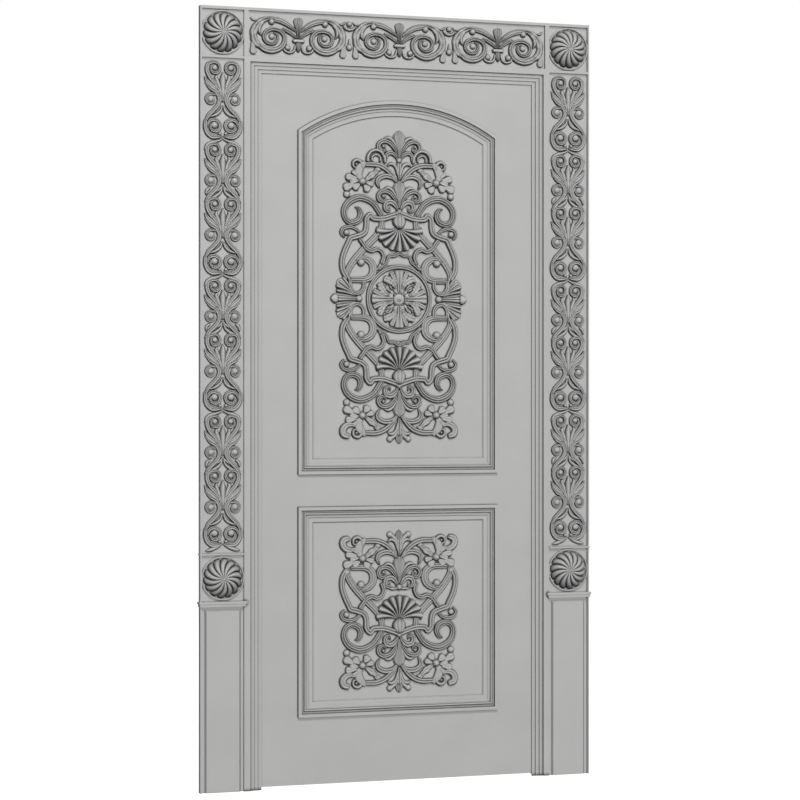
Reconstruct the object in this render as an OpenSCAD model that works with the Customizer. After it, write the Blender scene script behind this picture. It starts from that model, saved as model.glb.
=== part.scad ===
// Carved temple door with its frame, in millimetres.
// X runs to the viewer's right, Y to the back, Z up from the floor.
// The leaf hangs on three butt hinges at the viewer's left and swings to the back.

/* [Leaf] */
// Width of the leaf
leaf_width = 840; // [760:10:940]
// Height of the leaf
leaf_height = 2040; // [1940:10:2200]
// Thickness of the leaf
leaf_thickness = 44; // [40:1:56]
// Gap between the leaf and the frame at the sides and the top
side_gap = 3; // [2:0.5:4]
// Gap between the leaf and the floor
floor_gap = 8; // [4:1:14]
// Width of each stile
stile_width = 140; // [130:2:150]
// Height of the bottom rail
bottom_rail_height = 216; // [190:2:240]
// Height of the lower panel between the rails
lower_panel_height = 557; // [540:1:600]
// Height of the lock rail
lock_rail_height = 139; // [125:1:150]
// Height of the top rail at the crown of its arch
crown_rail_height = 93; // [80:1:110]
// Radius of the arch under the top rail
arch_radius = 512; // [480:4:600]

/* [Panels and mouldings] */
// Thickness of the panels
panel_thickness = 24; // [22:1:28]
// Depth of the tongue behind the panel's face
tongue_setback = 7; // [6:0.5:9]
// Thickness of the tongue round a panel
tongue_thickness = 10; // [8:1:12]
// Depth of the groove that holds the tongue
groove_depth = 12; // [10:1:16]
// Room left at the end of the tongue for the wood to move
groove_room = 1; // [0.5:0.5:3]
// Width of the panel mouldings
moulding_width = 48; // [40:1:54]
// Height of the panel mouldings above the leaf
moulding_height = 9; // [6:0.5:11]
// Thickness of the tenons
tenon_thickness = 14; // [10:1:15]
// Length of the tenons
tenon_length = 60; // [40:5:80]
// Shoulder above and below each tenon
tenon_shoulder = 20; // [16:1:26]

/* [Frame] */
// Thickness of the casing boards
casing_thickness = 22; // [20:1:28]
// Depth of the leaf's face behind the front of the casing
leaf_setback = 12; // [11:0.5:16]
// Lap of the architrave over the sides of the leaf
stop_lap = 9; // [7:0.5:12]
// Lap of the architrave over the top of the leaf
head_lap = 6; // [5:0.5:9]
// Clearance between the architrave and the leaf's face
stop_clearance = 0.5; // [0.3:0.1:1]
// Width of the three steps of the side architraves
side_steps_width = 34; // [28:1:42]
// Height of the three steps of the head architrave
head_steps_height = 31; // [26:1:40]
// Width of the flat band of the side architraves
side_band = 18; // [12:1:24]
// Height of the flat band of the head architrave
head_band = 10; // [6:1:16]
// Drop from the band to the level that the architrave steps count from
band_drop = 2; // [1:0.5:3]
// Drop of each architrave step
step_drop = 2; // [1.5:0.1:2.4]
// Width of the pilasters
pilaster_width = 127; // [120:1:140]
// Height of the frieze board
frieze_height = 143; // [130:1:160]
// Width of the raised border at the outer edges
border = 5; // [4:0.5:8]
// Height of the raised border along the top
top_border = 8; // [6:0.5:12]
// Width of the strip between the frieze and the corner blocks
frieze_strip = 13; // [10:1:18]
// Depth of the sunk fields
field_depth = 8; // [6:0.5:10]

/* [Blocks and plinths] */
// Height of the plinths
plinth_height = 526; // [480:2:580]
// Stand of the raised panel in the sunk field of the plinths
plinth_panel_stand = 6; // [4:0.5:8]
// Width of the bevel round that panel
plinth_bevel = 5.5; // [3:0.5:8]
// Margin between that panel and the edges of its field
plinth_margin = 8; // [6:1:14]
// Stand of the plinth caps in front of the casing, less their overhang
cap_stand = 3; // [2:0.5:6]
// Height of each of the two steps of the plinth caps
cap_step = 7.5; // [6:0.5:10]
// Overhang of the plinth caps
cap_overhang = 4; // [3:0.5:6]
// Height of the base blocks
base_block_height = 130; // [124:1:150]
// Height of the neck fillets over the base blocks
neck_height = 6; // [5:0.5:10]
// Overhang of the neck fillets
neck_overhang = 2; // [1.5:0.5:4]
// Drop of the corner blocks below the frieze board
corner_drop = 3; // [2:0.5:5]
// Height of the strip under the corner blocks
strip_height = 7; // [5:0.5:10]
// Outer radius of the rings round the rosettes
ring_radius = 62.5; // [61.5:0.5:63]
// Width of those rings
ring_width = 4; // [3:0.5:5]
// Drop of the rings' edges below the face of the casing
ring_drop = 2; // [1:0.5:3]
// Radius of the rosettes
rosette_radius = 57; // [52:0.5:57]
// Rise of the rosettes above their field
rosette_rise = 24; // [16:1:30]
// Petals of each rosette
rosette_petals = 14; // [10:1:18]
// Swirl of the petals from the middle to the rim, in degrees
rosette_swirl = 14; // [0:1:30]

/* [Carving] */
// Clear margin between the panel carving and the mouldings
carving_margin = 48; // [40:1:60]
// Clear margin above and below the carving of the upper panel
upper_end_margin = 37; // [30:1:50]
// Clear margin above and below the carving of the lower panel
lower_end_margin = 17; // [12:1:30]
// Rise of the panel carving
panel_relief = 10; // [6:0.5:11]
// Rise of the frame carving
frame_relief = 9; // [6:0.5:12]

/* [Hinges] */
// Height of each hinge
hinge_height = 100; // [80:5:120]
// Width of each hinge plate in its mortise
hinge_plate_width = 32; // [28:1:36]
// Thickness of the hinge plates
hinge_plate = 2.5; // [2:0.1:3]
// Radius of the hinge knuckles
knuckle_radius = 6; // [5:0.5:7]
// Gap between neighbouring knuckles
knuckle_gap = 0.4; // [0.3:0.1:0.8]
// Clearance between the knuckles and the back of the leaf
knuckle_clear = 0.5; // [0.4:0.1:1]
// Radius of the hinge pins
pin_radius = 3.5; // [3:0.1:3.8]
// Height of the pins' heads, and their length below the knuckles
pin_head = 3; // [2:0.5:5]
// Running clearance of the moving knuckles on the pins
pin_clearance = 0.05; // [0.02:0.01:0.1]
// Distance from the leaf's ends to the outer hinges
hinge_inset = 200; // [150:10:260]
// Radius of the screw shanks
screw_radius = 2; // [1.5:0.1:2.3]
// Length of the screws
screw_length = 24; // [16:1:30]

/* [Hidden] */
$fn = 96;

paint = [0.72, 0.72, 0.71];
steel = [0.55, 0.55, 0.56];

// Widths from the middle of the door
leaf_half = leaf_width / 2;
jamb_in = leaf_half + side_gap;
stop_in = leaf_half - stop_lap;
stop_out = stop_in + side_steps_width;
pil_in = stop_out + side_band;
pil_out = pil_in + pilaster_width;
jamb_out = pil_in;
field_out = pil_out - border;
field_mid = (pil_in + field_out) / 2;
field_half = (field_out - pil_in) / 2;
joint_half = leaf_half - stile_width;
mould_out = joint_half + moulding_width / 2;
mould_in = joint_half - moulding_width / 2;

// Heights from the floor
leaf_top = floor_gap + leaf_height;
soffit = leaf_top + side_gap;
stop_head = leaf_top - head_lap;
steps_top = stop_head + head_steps_height;
frieze_low = steps_top + head_band;
door_top = frieze_low + frieze_height;
frieze_field_low = frieze_low + strip_height;
field_top = door_top - top_border;
corner_low = frieze_low - corner_drop;
cap_top = plinth_height + 2 * cap_step;
block_top = cap_top + base_block_height;
shaft_low = block_top + neck_height;
shaft_length = corner_low - shaft_low;
bottom_joint = floor_gap + bottom_rail_height;
lock_low = bottom_joint + lower_panel_height;
lock_high = lock_low + lock_rail_height;
crown = leaf_top - crown_rail_height;
arch_z = crown - arch_radius;
spring = arch_z + sqrt(pow(arch_radius, 2) - pow(joint_half, 2));
lower_mid = (bottom_joint + lock_low) / 2;
ring_mid = (corner_low + strip_height + field_top) / 2;
base_mid = (cap_top + block_top) / 2;

// Depths: front is the face of the casing, and the part is centred on Y
hinge_reach = knuckle_clear + 2 * knuckle_radius;
front = -(leaf_setback + leaf_thickness + hinge_reach - (rosette_rise - field_depth)) / 2;
wall = front + casing_thickness;
field = front + field_depth;
face = front + leaf_setback;
back = face + leaf_thickness;
tongue_front = face + tongue_setback;
tenon_front = face + leaf_thickness / 2 - tenon_thickness / 2;
axis_y = back + knuckle_clear + knuckle_radius;
axis_x = -leaf_half - side_gap / 2;
hinge_at = [floor_gap + hinge_inset, (floor_gap + leaf_top) / 2, leaf_top - hinge_inset];

// Scales that fit the carving to its fields
width_k = (mould_in - carving_margin) / 208;
upper_k = min(width_k, (crown - lock_high - moulding_width - 2 * upper_end_margin) / 913);
lower_k = min(width_k, (lower_panel_height - moulding_width - 2 * lower_end_margin) / 475);
pilaster_k = field_half / 61;
shaft_k = shaft_length / 1403;
frieze_k = (pil_in - frieze_strip) / 450;
frieze_v = (field_top - frieze_field_low) / 128;

// A flat outline in X and Z, from depth a to depth b
module slab(a, b) {
  translate([0, b, 0])
    rotate([90, 0, 0])
      linear_extrude(height = b - a)
        children();
}

module box(x0, x1, y0, y1, z0, z1) {
  translate([x0, y0, z0])
    cube([x1 - x0, y1 - y0, z1 - z0]);
}

module flip() {
  mirror([1, 0, 0])
    children();
}

module both() {
  children();
  flip()
    children();
}

// Hinges, their pins and screws
knuckle = (hinge_height - 4 * knuckle_gap) / 5;
screw_spots = [[-0.28, 0.38], [-0.68, 0.14], [-0.28, -0.14], [-0.68, -0.38]];

module screw() {
  rotate_extrude()
    polygon([
      [0, 0], [2 * screw_radius, 0], [screw_radius, screw_radius],
      [screw_radius, screw_length - 1.5 * screw_radius], [0, screw_length]
    ]);
}

// Screws of one side: 1 enters the leaf, -1 enters the jamb
module screws(side) {
  x = side > 0 ? -leaf_half : -jamb_in;
  for (z = hinge_at, s = screw_spots)
    translate([x, back + s[0] * hinge_plate_width, z + s[1] * hinge_height])
      rotate([0, 90 * side, 0])
        screw();
}

module hinge_knuckles(z, first, bore) {
  x0 = first == 0 ? -jamb_in - hinge_plate : -leaf_half;
  for (i = [first : 2 : 4]) {
    low = z - hinge_height / 2 + i * (knuckle + knuckle_gap);
    translate([axis_x, axis_y, low])
      cylinder(r = knuckle_radius, h = knuckle);
    box(x0, x0 + hinge_plate, back - 1, axis_y, low, low + knuckle);
  }
}

module hinge_plates(z, first, bore) {
  x0 = first == 0 ? -jamb_in - hinge_plate : -leaf_half;
  difference() {
    union() {
      box(x0, x0 + hinge_plate, back - hinge_plate_width, back, z - hinge_height / 2, z + hinge_height / 2);
      hinge_knuckles(z, first, bore);
    }
    translate([axis_x, axis_y, z - hinge_height])
      cylinder(r = bore, h = 2 * hinge_height);
    screws(first == 0 ? -1 : 1);
  }
}

module frame_plate(i) {
  color(steel)
    hinge_plates(hinge_at[i], 0, pin_radius);
}

module leaf_plate(i) {
  color(steel)
    hinge_plates(hinge_at[i], 1, pin_radius + pin_clearance);
}

module pin(i) {
  color(steel)
    translate([axis_x, axis_y, hinge_at[i] - hinge_height / 2 - pin_head / 3])
      union() {
        cylinder(r = pin_radius, h = hinge_height + pin_head / 3);
        translate([0, 0, hinge_height + pin_head / 3])
          cylinder(r1 = 0.9 * knuckle_radius, r2 = pin_radius, h = pin_head);
      }
}

module mortises(side) {
  x0 = side > 0 ? -leaf_half : -jamb_in - hinge_plate;
  for (z = hinge_at)
    box(x0 - (side > 0 ? 1 : 0), x0 + hinge_plate + (side > 0 ? 0 : 1), back - hinge_plate_width, back + 1,
      z - hinge_height / 2, z + hinge_height / 2);
}

module top_hinge_frame_plate() {
  frame_plate(2);
}

module middle_hinge_frame_plate() {
  frame_plate(1);
}

module bottom_hinge_frame_plate() {
  frame_plate(0);
}

module top_hinge_leaf_plate() {
  leaf_plate(2);
}

module middle_hinge_leaf_plate() {
  leaf_plate(1);
}

module bottom_hinge_leaf_plate() {
  leaf_plate(0);
}

module top_hinge_pin() {
  pin(2);
}

module middle_hinge_pin() {
  pin(1);
}

module bottom_hinge_pin() {
  pin(0);
}

module frame_hinge_screws() {
  color(steel)
    screws(-1);
}

module leaf_hinge_screws() {
  color(steel)
    screws(1);
}

// Frame timbers behind the casing
module hinge_jamb() {
  color(paint)
    difference() {
      box(-jamb_out, -jamb_in, wall, back, 0, frieze_low);
      mortises(-1);
      screws(-1);
    }
}

module lock_jamb() {
  color(paint)
    box(jamb_in, jamb_out, wall, back, 0, frieze_low);
}

module head_jamb() {
  color(paint)
    box(-jamb_in, jamb_in, wall, back, soffit, frieze_low);
}

// The architrave: three steps and a flat band, rebated behind to lap the leaf
module arch_frame(w, z, a, b) {
  slab(a, b)
    difference() {
      translate([-pil_in, 0])
        square([2 * pil_in, frieze_low]);
      translate([-w, -1])
        square([2 * w, z + 1]);
    }
}

module architrave() {
  difference() {
    union() {
      arch_frame(stop_out, steps_top, front, wall);
      for (i = [1 : 3])
        arch_frame(
          stop_out - side_steps_width * i / 3, steps_top - head_steps_height * i / 3,
          front + band_drop + step_drop * i, wall
        );
    }
    box(-jamb_in, jamb_in, face - stop_clearance, wall + 1, -1, soffit);
  }
}

module left_architrave() {
  color(paint)
    intersection() {
      architrave();
      slab(front - 1, wall + 1)
        polygon([
          [-pil_in, 0], [-stop_in, 0], [-stop_in, stop_head],
          [-stop_out, steps_top], [-pil_in, frieze_low]
        ]);
    }
}

module right_architrave() {
  flip()
    left_architrave();
}

module head_architrave() {
  color(paint)
    intersection() {
      architrave();
      slab(front - 1, wall + 1)
        polygon([
          [-stop_in, stop_head], [stop_in, stop_head], [stop_out, steps_top],
          [pil_in, frieze_low], [-pil_in, frieze_low], [-stop_out, steps_top]
        ]);
    }
}

// Pilasters, frieze and blocks
module left_pilaster() {
  color(paint)
    translate([0, 0, shaft_low])
      linear_extrude(height = shaft_length)
        polygon([
          [-pil_out, front], [-field_out, front], [-field_out, field],
          [-pil_in, field], [-pil_in, wall], [-pil_out, wall]
        ]);
}

module right_pilaster() {
  flip()
    left_pilaster();
}

module frieze_board() {
  w = pil_in - frieze_strip;
  color(paint)
    difference() {
      box(-pil_in, pil_in, front, wall, frieze_low, door_top);
      box(-w, w, front - 1, field, frieze_field_low, field_top);
    }
}

module ring(z) {
  translate([-field_mid, field, z])
    rotate([90, 0, 0])
      rotate_extrude()
        polygon([
          [ring_radius - ring_width, -1], [ring_radius, -1],
          [ring_radius, field_depth - ring_drop], [ring_radius - ring_width / 2, field_depth - ring_drop / 2],
          [ring_radius - ring_width, field_depth - ring_drop]
        ]);
}

module left_corner_block() {
  color(paint)
    intersection() {
      union() {
        difference() {
          box(-pil_out, -pil_in, front, wall, corner_low, door_top);
          box(-field_out, -pil_in + 1, front - 1, field, corner_low + strip_height, field_top);
        }
        ring(ring_mid);
      }
      box(-pil_out, -pil_in, front, wall, corner_low, door_top);
    }
}

module right_corner_block() {
  flip()
    left_corner_block();
}

module left_base_block() {
  color(paint)
    intersection() {
      union() {
        box(-pil_out, -field_out, front, wall, cap_top, block_top);
        box(-field_out, -pil_in, field, wall, cap_top, block_top);
        ring(base_mid);
      }
      box(-pil_out, -pil_in, front, wall, cap_top, block_top);
    }
}

module right_base_block() {
  flip()
    left_base_block();
}

module left_neck_fillet() {
  color(paint)
    union() {
      box(-pil_out, -pil_in, front, wall, block_top, shaft_low);
      box(-pil_out - neck_overhang, -pil_in, front - neck_overhang, wall,
        block_top + neck_height / 6, shaft_low - neck_height / 6);
    }
}

module right_neck_fillet() {
  flip()
    left_neck_fillet();
}

module left_plinth_cap() {
  mid = plinth_height + cap_step;
  low = cap_stand + cap_overhang / 2;
  high = cap_stand + cap_overhang;
  color(paint)
    union() {
      box(-pil_out, -pil_in, front, wall, plinth_height, cap_top);
      box(-pil_out - cap_overhang / 2, -pil_in + cap_overhang, front - low, front, plinth_height, mid);
      box(-pil_out - cap_overhang, -pil_in + 2 * cap_overhang, front - high, front, mid, cap_top);
      box(-pil_out - cap_overhang / 2, -pil_out, front, wall, plinth_height, mid);
      box(-pil_out - cap_overhang, -pil_out, front, wall, mid, cap_top);
    }
}

module right_plinth_cap() {
  flip()
    left_plinth_cap();
}

module left_plinth() {
  panel_front = field - plinth_panel_stand;
  a = -field_out + plinth_margin;
  b = -pil_in - plinth_margin;
  top = plinth_height - plinth_margin;
  color(paint)
    union() {
      box(-pil_out, -field_out, front, wall, 0, plinth_height);
      box(-field_out, -pil_in, field, wall, 0, plinth_height);
      intersection() {
        linear_extrude(height = top)
          polygon([
            [a, field + 1], [a, field], [a + plinth_bevel, panel_front],
            [b - plinth_bevel, panel_front], [b, field], [b, field + 1]
          ]);
        rotate([90, 0, 90])
          translate([0, 0, -pil_out])
            linear_extrude(height = pilaster_width)
              polygon([
                [field + 1, 0], [panel_front, 0], [panel_front, top - plinth_bevel],
                [field, top], [field + 1, top]
              ]);
      }
    }
}

module right_plinth() {
  flip()
    left_plinth();
}

// Swirled rosette: a cushion of petals, each with a groove on both sides
rosette_rings = [[0.3, 0.93], [0.7, 0.68], [0.97, 0.24]];

function rosette_point(i, k, n) =
  let (
    q = rosette_rings[i][0],
    crest = k % 2 == 1,
    a = 360 * k / n + rosette_swirl * q,
    r = rosette_radius * (crest ? 1 : 0.94) * q,
    h = rosette_rise * (crest ? rosette_rings[i][1] : rosette_rings[i][1] * 0.78)
  )
  [r * sin(a), -h, r * cos(a)];

module rosette(z) {
  n = 2 * rosette_petals;
  rows = len(rosette_rings);
  top = [for (i = [0 : rows - 1], k = [0 : n - 1]) rosette_point(i, k, n)];
  foot = [
    for (k = [0 : n - 1])
      let (p = rosette_point(rows - 1, k, n))
      [p[0], 0, p[2]]
  ];
  points = concat([[0, -rosette_rise, 0]], top, foot, [[0, 0, 0]]);
  last = 1 + (rows + 1) * n;
  crown_faces = [for (k = [0 : n - 1]) [0, 1 + k, 1 + (k + 1) % n]];
  sides = [
    for (i = [0 : rows - 1], k = [0 : n - 1], t = [0, 1])
      let (a = 1 + i * n + k, b = 1 + i * n + (k + 1) % n)
      t == 0 ? [a, a + n, b + n] : [a, b + n, b]
  ];
  base = [for (k = [0 : n - 1]) [last, 1 + rows * n + (k + 1) % n, 1 + rows * n + k]];
  color(paint)
    translate([-field_mid, field, z])
      polyhedron(points = points, faces = concat(crown_faces, sides, base));
}

module left_corner_rosette() {
  rosette(ring_mid);
}

module right_corner_rosette() {
  flip()
    left_corner_rosette();
}

module left_base_rosette() {
  rosette(base_mid);
}

module right_base_rosette() {
  flip()
    left_base_rosette();
}

// Framing of the leaf
module tenon(z0, z1) {
  box(-joint_half - tenon_length, joint_half + tenon_length, tenon_front, tenon_front + tenon_thickness,
    z0 + tenon_shoulder, z1 - tenon_shoulder);
}

module tenons() {
  tenon(floor_gap, bottom_joint);
  tenon(lock_low, lock_high);
  tenon(spring, leaf_top);
}

module arch_outline(w, low, r) {
  intersection() {
    translate([-w, low])
      square([2 * w, leaf_top - low]);
    union() {
      translate([0, arch_z])
        circle(r = r);
      translate([-w, low])
        square([2 * w, spring - 60 - low]);
    }
  }
}

module grooves() {
  g = groove_depth;
  slab(tongue_front, tongue_front + tongue_thickness)
    arch_outline(joint_half + g, lock_high - g, arch_radius + g);
  box(-joint_half - g, joint_half + g, tongue_front, tongue_front + tongue_thickness,
    bottom_joint - g, lock_low + g);
}

module hinge_stile() {
  color(paint)
    difference() {
      box(-leaf_half, -joint_half, face, back, floor_gap, leaf_top);
      grooves();
      tenons();
      mortises(1);
      screws(1);
    }
}

module lock_stile() {
  color(paint)
    difference() {
      box(joint_half, leaf_half, face, back, floor_gap, leaf_top);
      grooves();
      tenons();
    }
}

module top_rail() {
  color(paint)
    union() {
      difference() {
        slab(face, back)
          difference() {
            translate([-joint_half, spring])
              square([2 * joint_half, leaf_top - spring]);
            translate([0, arch_z])
              circle(r = arch_radius);
          }
        grooves();
      }
      both()
        box(joint_half - tongue_thickness / 5, joint_half + tenon_length,
          tenon_front, tenon_front + tenon_thickness,
          spring + tenon_shoulder, leaf_top - tenon_shoulder);
    }
}

module lock_rail() {
  color(paint)
    union() {
      difference() {
        box(-joint_half, joint_half, face, back, lock_low, lock_high);
        grooves();
      }
      tenon(lock_low, lock_high);
    }
}

module bottom_rail() {
  color(paint)
    union() {
      difference() {
        box(-joint_half, joint_half, face, back, floor_gap, bottom_joint);
        grooves();
      }
      tenon(floor_gap, bottom_joint);
    }
}

module upper_panel() {
  t = groove_depth - groove_room;
  color(paint)
    union() {
      slab(face, face + panel_thickness)
        arch_outline(joint_half, lock_high, arch_radius);
      slab(tongue_front, tongue_front + tongue_thickness)
        arch_outline(joint_half + t, lock_high - t, arch_radius + t);
    }
}

module lower_panel() {
  t = groove_depth - groove_room;
  color(paint)
    union() {
      box(-joint_half, joint_half, face, face + panel_thickness, bottom_joint, lock_low);
      box(-joint_half - t, joint_half + t, tongue_front, tongue_front + tongue_thickness,
        bottom_joint - t, lock_low + t);
    }
}

// Panel mouldings: a high fillet, a hollow, a bead and two low fillets, from the outer edge inwards
function profile(s) = [
  for (p = [
    [0, 0], [0.03, 1], [0.22, 1], [0.25, 0.55], [0.36, 0.5], [0.4, 0.75], [0.44, 0.83], [0.48, 0.75],
    [0.51, 0.46], [0.64, 0.44], [0.69, 0.3], [0.92, 0.28], [0.97, 0.06], [1, 0.06], [1, 0]
  ])
    [p[0] * moulding_width, s * p[1] * moulding_height]
];

module moulding_upright(low, high) {
  translate([-mould_out, face, low])
    linear_extrude(height = high - low)
      polygon(profile(-1));
}

module moulding_across(z) {
  translate([-mould_out, face, z])
    rotate([0, 90, 0])
      linear_extrude(height = 2 * mould_out)
        polygon(profile(-1));
}

module mitre(points) {
  slab(face - moulding_height - 1, face + 1)
    polygon(points);
}

arch_in_z = arch_z + sqrt(pow(arch_radius - moulding_width / 2, 2) - pow(mould_in, 2));
arch_out_z = arch_z + sqrt(pow(arch_radius + moulding_width / 2, 2) - pow(mould_out, 2));
upper_low = lock_high - moulding_width / 2;
lower_low = bottom_joint - moulding_width / 2;
lower_high = lock_low + moulding_width / 2;

module side_run(low, out_high, in_high) {
  color(paint)
    intersection() {
      moulding_upright(low, max(out_high, in_high));
      mitre([
        [-mould_out, low], [-mould_in, low + moulding_width],
        [-mould_in, in_high], [-mould_out, out_high]
      ]);
    }
}

module top_run(z) {
  color(paint)
    intersection() {
      moulding_across(z);
      mitre([
        [-mould_out, z], [-mould_in, z - moulding_width],
        [mould_in, z - moulding_width], [mould_out, z]
      ]);
    }
}

module upper_moulding_left() {
  side_run(upper_low, arch_out_z, arch_in_z);
}

module upper_moulding_right() {
  flip()
    upper_moulding_left();
}

module upper_moulding_arch() {
  r = arch_radius + moulding_width / 2;
  color(paint)
    intersection() {
      translate([0, face, arch_z])
        rotate([90, 0, 0])
          rotate_extrude()
            polygon([for (p = profile(1)) [r - p[0], p[1]]]);
      mitre([
        [-mould_out, arch_out_z], [-mould_in, arch_in_z], [mould_in, arch_in_z],
        [mould_out, arch_out_z], [mould_out, leaf_top], [-mould_out, leaf_top]
      ]);
    }
}

module upper_moulding_bottom() {
  translate([0, 0, 2 * upper_low])
    mirror([0, 0, 1])
      top_run(upper_low);
}

module lower_moulding_left() {
  side_run(lower_low, lower_high, lower_high - moulding_width);
}

module lower_moulding_right() {
  flip()
    lower_moulding_left();
}

module lower_moulding_top() {
  top_run(lower_high);
}

module lower_moulding_bottom() {
  translate([0, 0, 2 * lower_low])
    mirror([0, 0, 1])
      top_run(lower_low);
}

// Carving: each stroke is a ridged band along hand-set points [x, z, half-width]
function along(path, i) =
  let (
    a = path[max(i - 1, 0)],
    b = path[min(i + 1, len(path) - 1)],
    d = [b[0] - a[0], b[1] - a[1]]
  )
  d / norm(d);

module stroke(path, rise) {
  n = len(path);
  points = [
    for (i = [0 : n - 1], s = [-1, 0, 1])
      let (p = path[i], t = along(path, i))
      [
        p[0] - s * t[1] * p[2],
        s == 0 ? -min(rise, 1.6 * p[2]) : 0,
        p[1] + s * t[0] * p[2]
      ]
  ];
  sides = [
    for (i = [0 : n - 2], s = [0 : 2], t = [0, 1])
      let (a = 3 * i + s, b = 3 * i + (s + 1) % 3)
      t == 0 ? [a, b, b + 3] : [a, b + 3, a + 3]
  ];
  polyhedron(points = points, faces = concat(sides, [[0, 2, 1], [3 * n - 3, 3 * n - 2, 3 * n - 1]]));
}

// A pointed leaf from its root along an angle, measured from up towards the right:
// the hull of its outline on the ground and of its ridge
module leaf(x, z, turn, length, half, rise) {
  outline = [
    [0, 0, 0], [half, 0, 0.4 * length], [0.7 * half, 0, 0.75 * length],
    [0, 0, length], [-0.7 * half, 0, 0.75 * length], [-half, 0, 0.4 * length]
  ];
  ridge = [[0, -0.8 * rise, 0.3 * length], [0, -rise, 0.65 * length]];
  translate([x, 0, z])
    rotate([0, turn, 0])
      hull()
        polyhedron(points = concat(outline, ridge), faces = [[0, 1, 2, 3, 4, 5], [0, 6, 7]]);
}

// A round bead
module bead(x, z, r, rise) {
  translate([x, 0, z])
    rotate([90, 0, 0])
      cylinder(r1 = r, r2 = 0.5 * r, h = rise, $fn = 7);
}

// A fan of ribs from a hinge, used for the shells
module shell(x, z, tilt, reach, rise) {
  n = 18;
  rim = [
    for (k = [0 : n])
      let (
        a = -100 + 200 * k / n,
        r = reach * (0.86 + 0.14 * cos(2 * a)) * (k % 2 == 1 ? 1 : 0.94)
      )
      [r * sin(a), k % 2 == 1 ? -0.6 * rise : -0.25 * rise, r * cos(a)]
  ];
  points = concat(
    [[0, -rise, 0.1 * reach], [0, 0, 0.1 * reach]], rim,
    [for (p = rim) [p[0], 0, p[2]]]
  );
  m = n + 1;
  tops = [for (k = [0 : n - 1]) [0, 2 + k, 3 + k]];
  skirts = [
    for (k = [0 : n - 1], t = [0, 1])
      t == 0 ? [2 + k, 2 + m + k, 3 + m + k] : [2 + k, 3 + m + k, 3 + k]
  ];
  feet = [for (k = [0 : n - 1]) [1, 3 + m + k, 2 + m + k]];
  ends = [[0, 1, 2 + m], [0, 2 + m, 2], [0, 2 + n, 2 + m + n], [0, 2 + m + n, 1]];
  translate([x, 0, z])
    rotate([0, tilt, 0])
      polyhedron(points = points, faces = concat(tops, skirts, feet, ends));
}

function fit(path, k, v, dx = 0, dz = 0) = [for (p = path) [k * (p[0] + dx), v * (p[1] + dz), k * p[2]]];

// Pilaster carving: left halves of the three scrolls, about their own eyes
scroll_p = [
  [-5, -68, 3], [-42, -30, 6], [-49, -4, 6], [-37, 15, 6],
  [-13, 8, 5], [-15, -10, 5], [-30, -2, 7]
];
scroll_s = [
  [-13, -14, 5], [-16, 8, 5], [-35, 17, 6], [-50, 2, 6],
  [-38, -15, 5], [-28, -2, 6]
];
scroll_d = [
  [-5, 68, 3], [-42, 27, 6], [-49, 2, 6], [-36, -19, 6],
  [-13, -10, 5], [-16, 10, 5], [-30, 1, 7]
];
stem_s = [[-4, 8, 4], [-16, -22, 5], [-43, -46, 3]];
p_rows = [-30, -261, -415, -646, -800, -1031, -1185];
s_rows = [-118, -348, -503, -733, -888, -1118, -1273];
d_rows = [-192, -577, -962, -1347];

module pilaster_rows(k, v) {
  for (z = p_rows) {
    stroke(fit(scroll_p, k, v, 0, z), frame_relief);
    leaf(-8 * k, v * (z - 68), -58, 48 * k, 7 * k, frame_relief - 2);
  }
  for (z = s_rows)
    stroke(fit(scroll_s, k, v, 0, z), frame_relief);
  for (i = [1 : 2 : 5])
    stroke(fit(stem_s, k, v, 0, s_rows[i]), frame_relief - 3);
  for (z = d_rows)
    stroke(fit(scroll_d, k, v, 0, z), frame_relief);
}

module pilaster_carving() {
  k = pilaster_k;
  v = shaft_k;
  translate([0, field, corner_low]) {
    both()
      pilaster_rows(k, v);
    for (z = p_rows)
      leaf(0, v * (z - 64), 0, 54 * k, 10 * k, frame_relief - 1);
    both()
      leaf(-6 * k, v * -1376, -112, 44 * k, 7 * k, frame_relief - 2);
  }
}

module left_pilaster_carving() {
  color(paint)
    translate([-field_mid, 0, 0])
      pilaster_carving();
}

module right_pilaster_carving() {
  color(paint)
    translate([field_mid, 0, 0])
      pilaster_carving();
}

// Frieze carving: left half of one motif, from the bottom of its field
frieze_scroll = [
  [-62, 110, 8], [-100, 104, 9], [-131, 72, 10], [-122, 30, 9], [-84, 15, 8],
  [-48, 28, 7], [-44, 62, 6], [-75, 78, 6], [-100, 56, 5], [-78, 46, 8]
];
frieze_curl = [[-8, 40, 4], [-18, 16, 5], [-38, 20, 6]];

module frieze_half(k, v) {
  stroke(fit(frieze_scroll, k, v), frame_relief);
  stroke(fit(frieze_curl, k, v), frame_relief - 2);
  leaf(-10 * k, 74 * v, -62, 78 * k, 11 * k, frame_relief);
  bead(-80 * k, 97 * v, 9 * k, frame_relief);
}

module frieze_motif(k, v) {
  both()
    frieze_half(k, v);
  leaf(0, 56 * v, 0, 66 * k, 15 * k, frame_relief + 1);
  leaf(0, 52 * v, 180, 44 * k, 9 * k, frame_relief);
}

module frieze_link(k, v) {
  bead(0, 103 * v, 8 * k, frame_relief - 1);
  leaf(0, 58 * v, 180, 34 * k, 9 * k, frame_relief - 1);
  both()
    leaf(-19 * k, 38 * v, 180, 32 * k, 9 * k, frame_relief - 3);
}

module frieze_carving() {
  k = frieze_k;
  v = frieze_v;
  color(paint)
    translate([0, field, frieze_field_low]) {
      for (i = [-1 : 1])
        translate([303 * i * k, 0, 0])
          frieze_motif(k, v);
      for (i = [-1, 1])
        translate([151.5 * i * k, 0, 0])
          frieze_link(k, v);
    }
}

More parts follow.
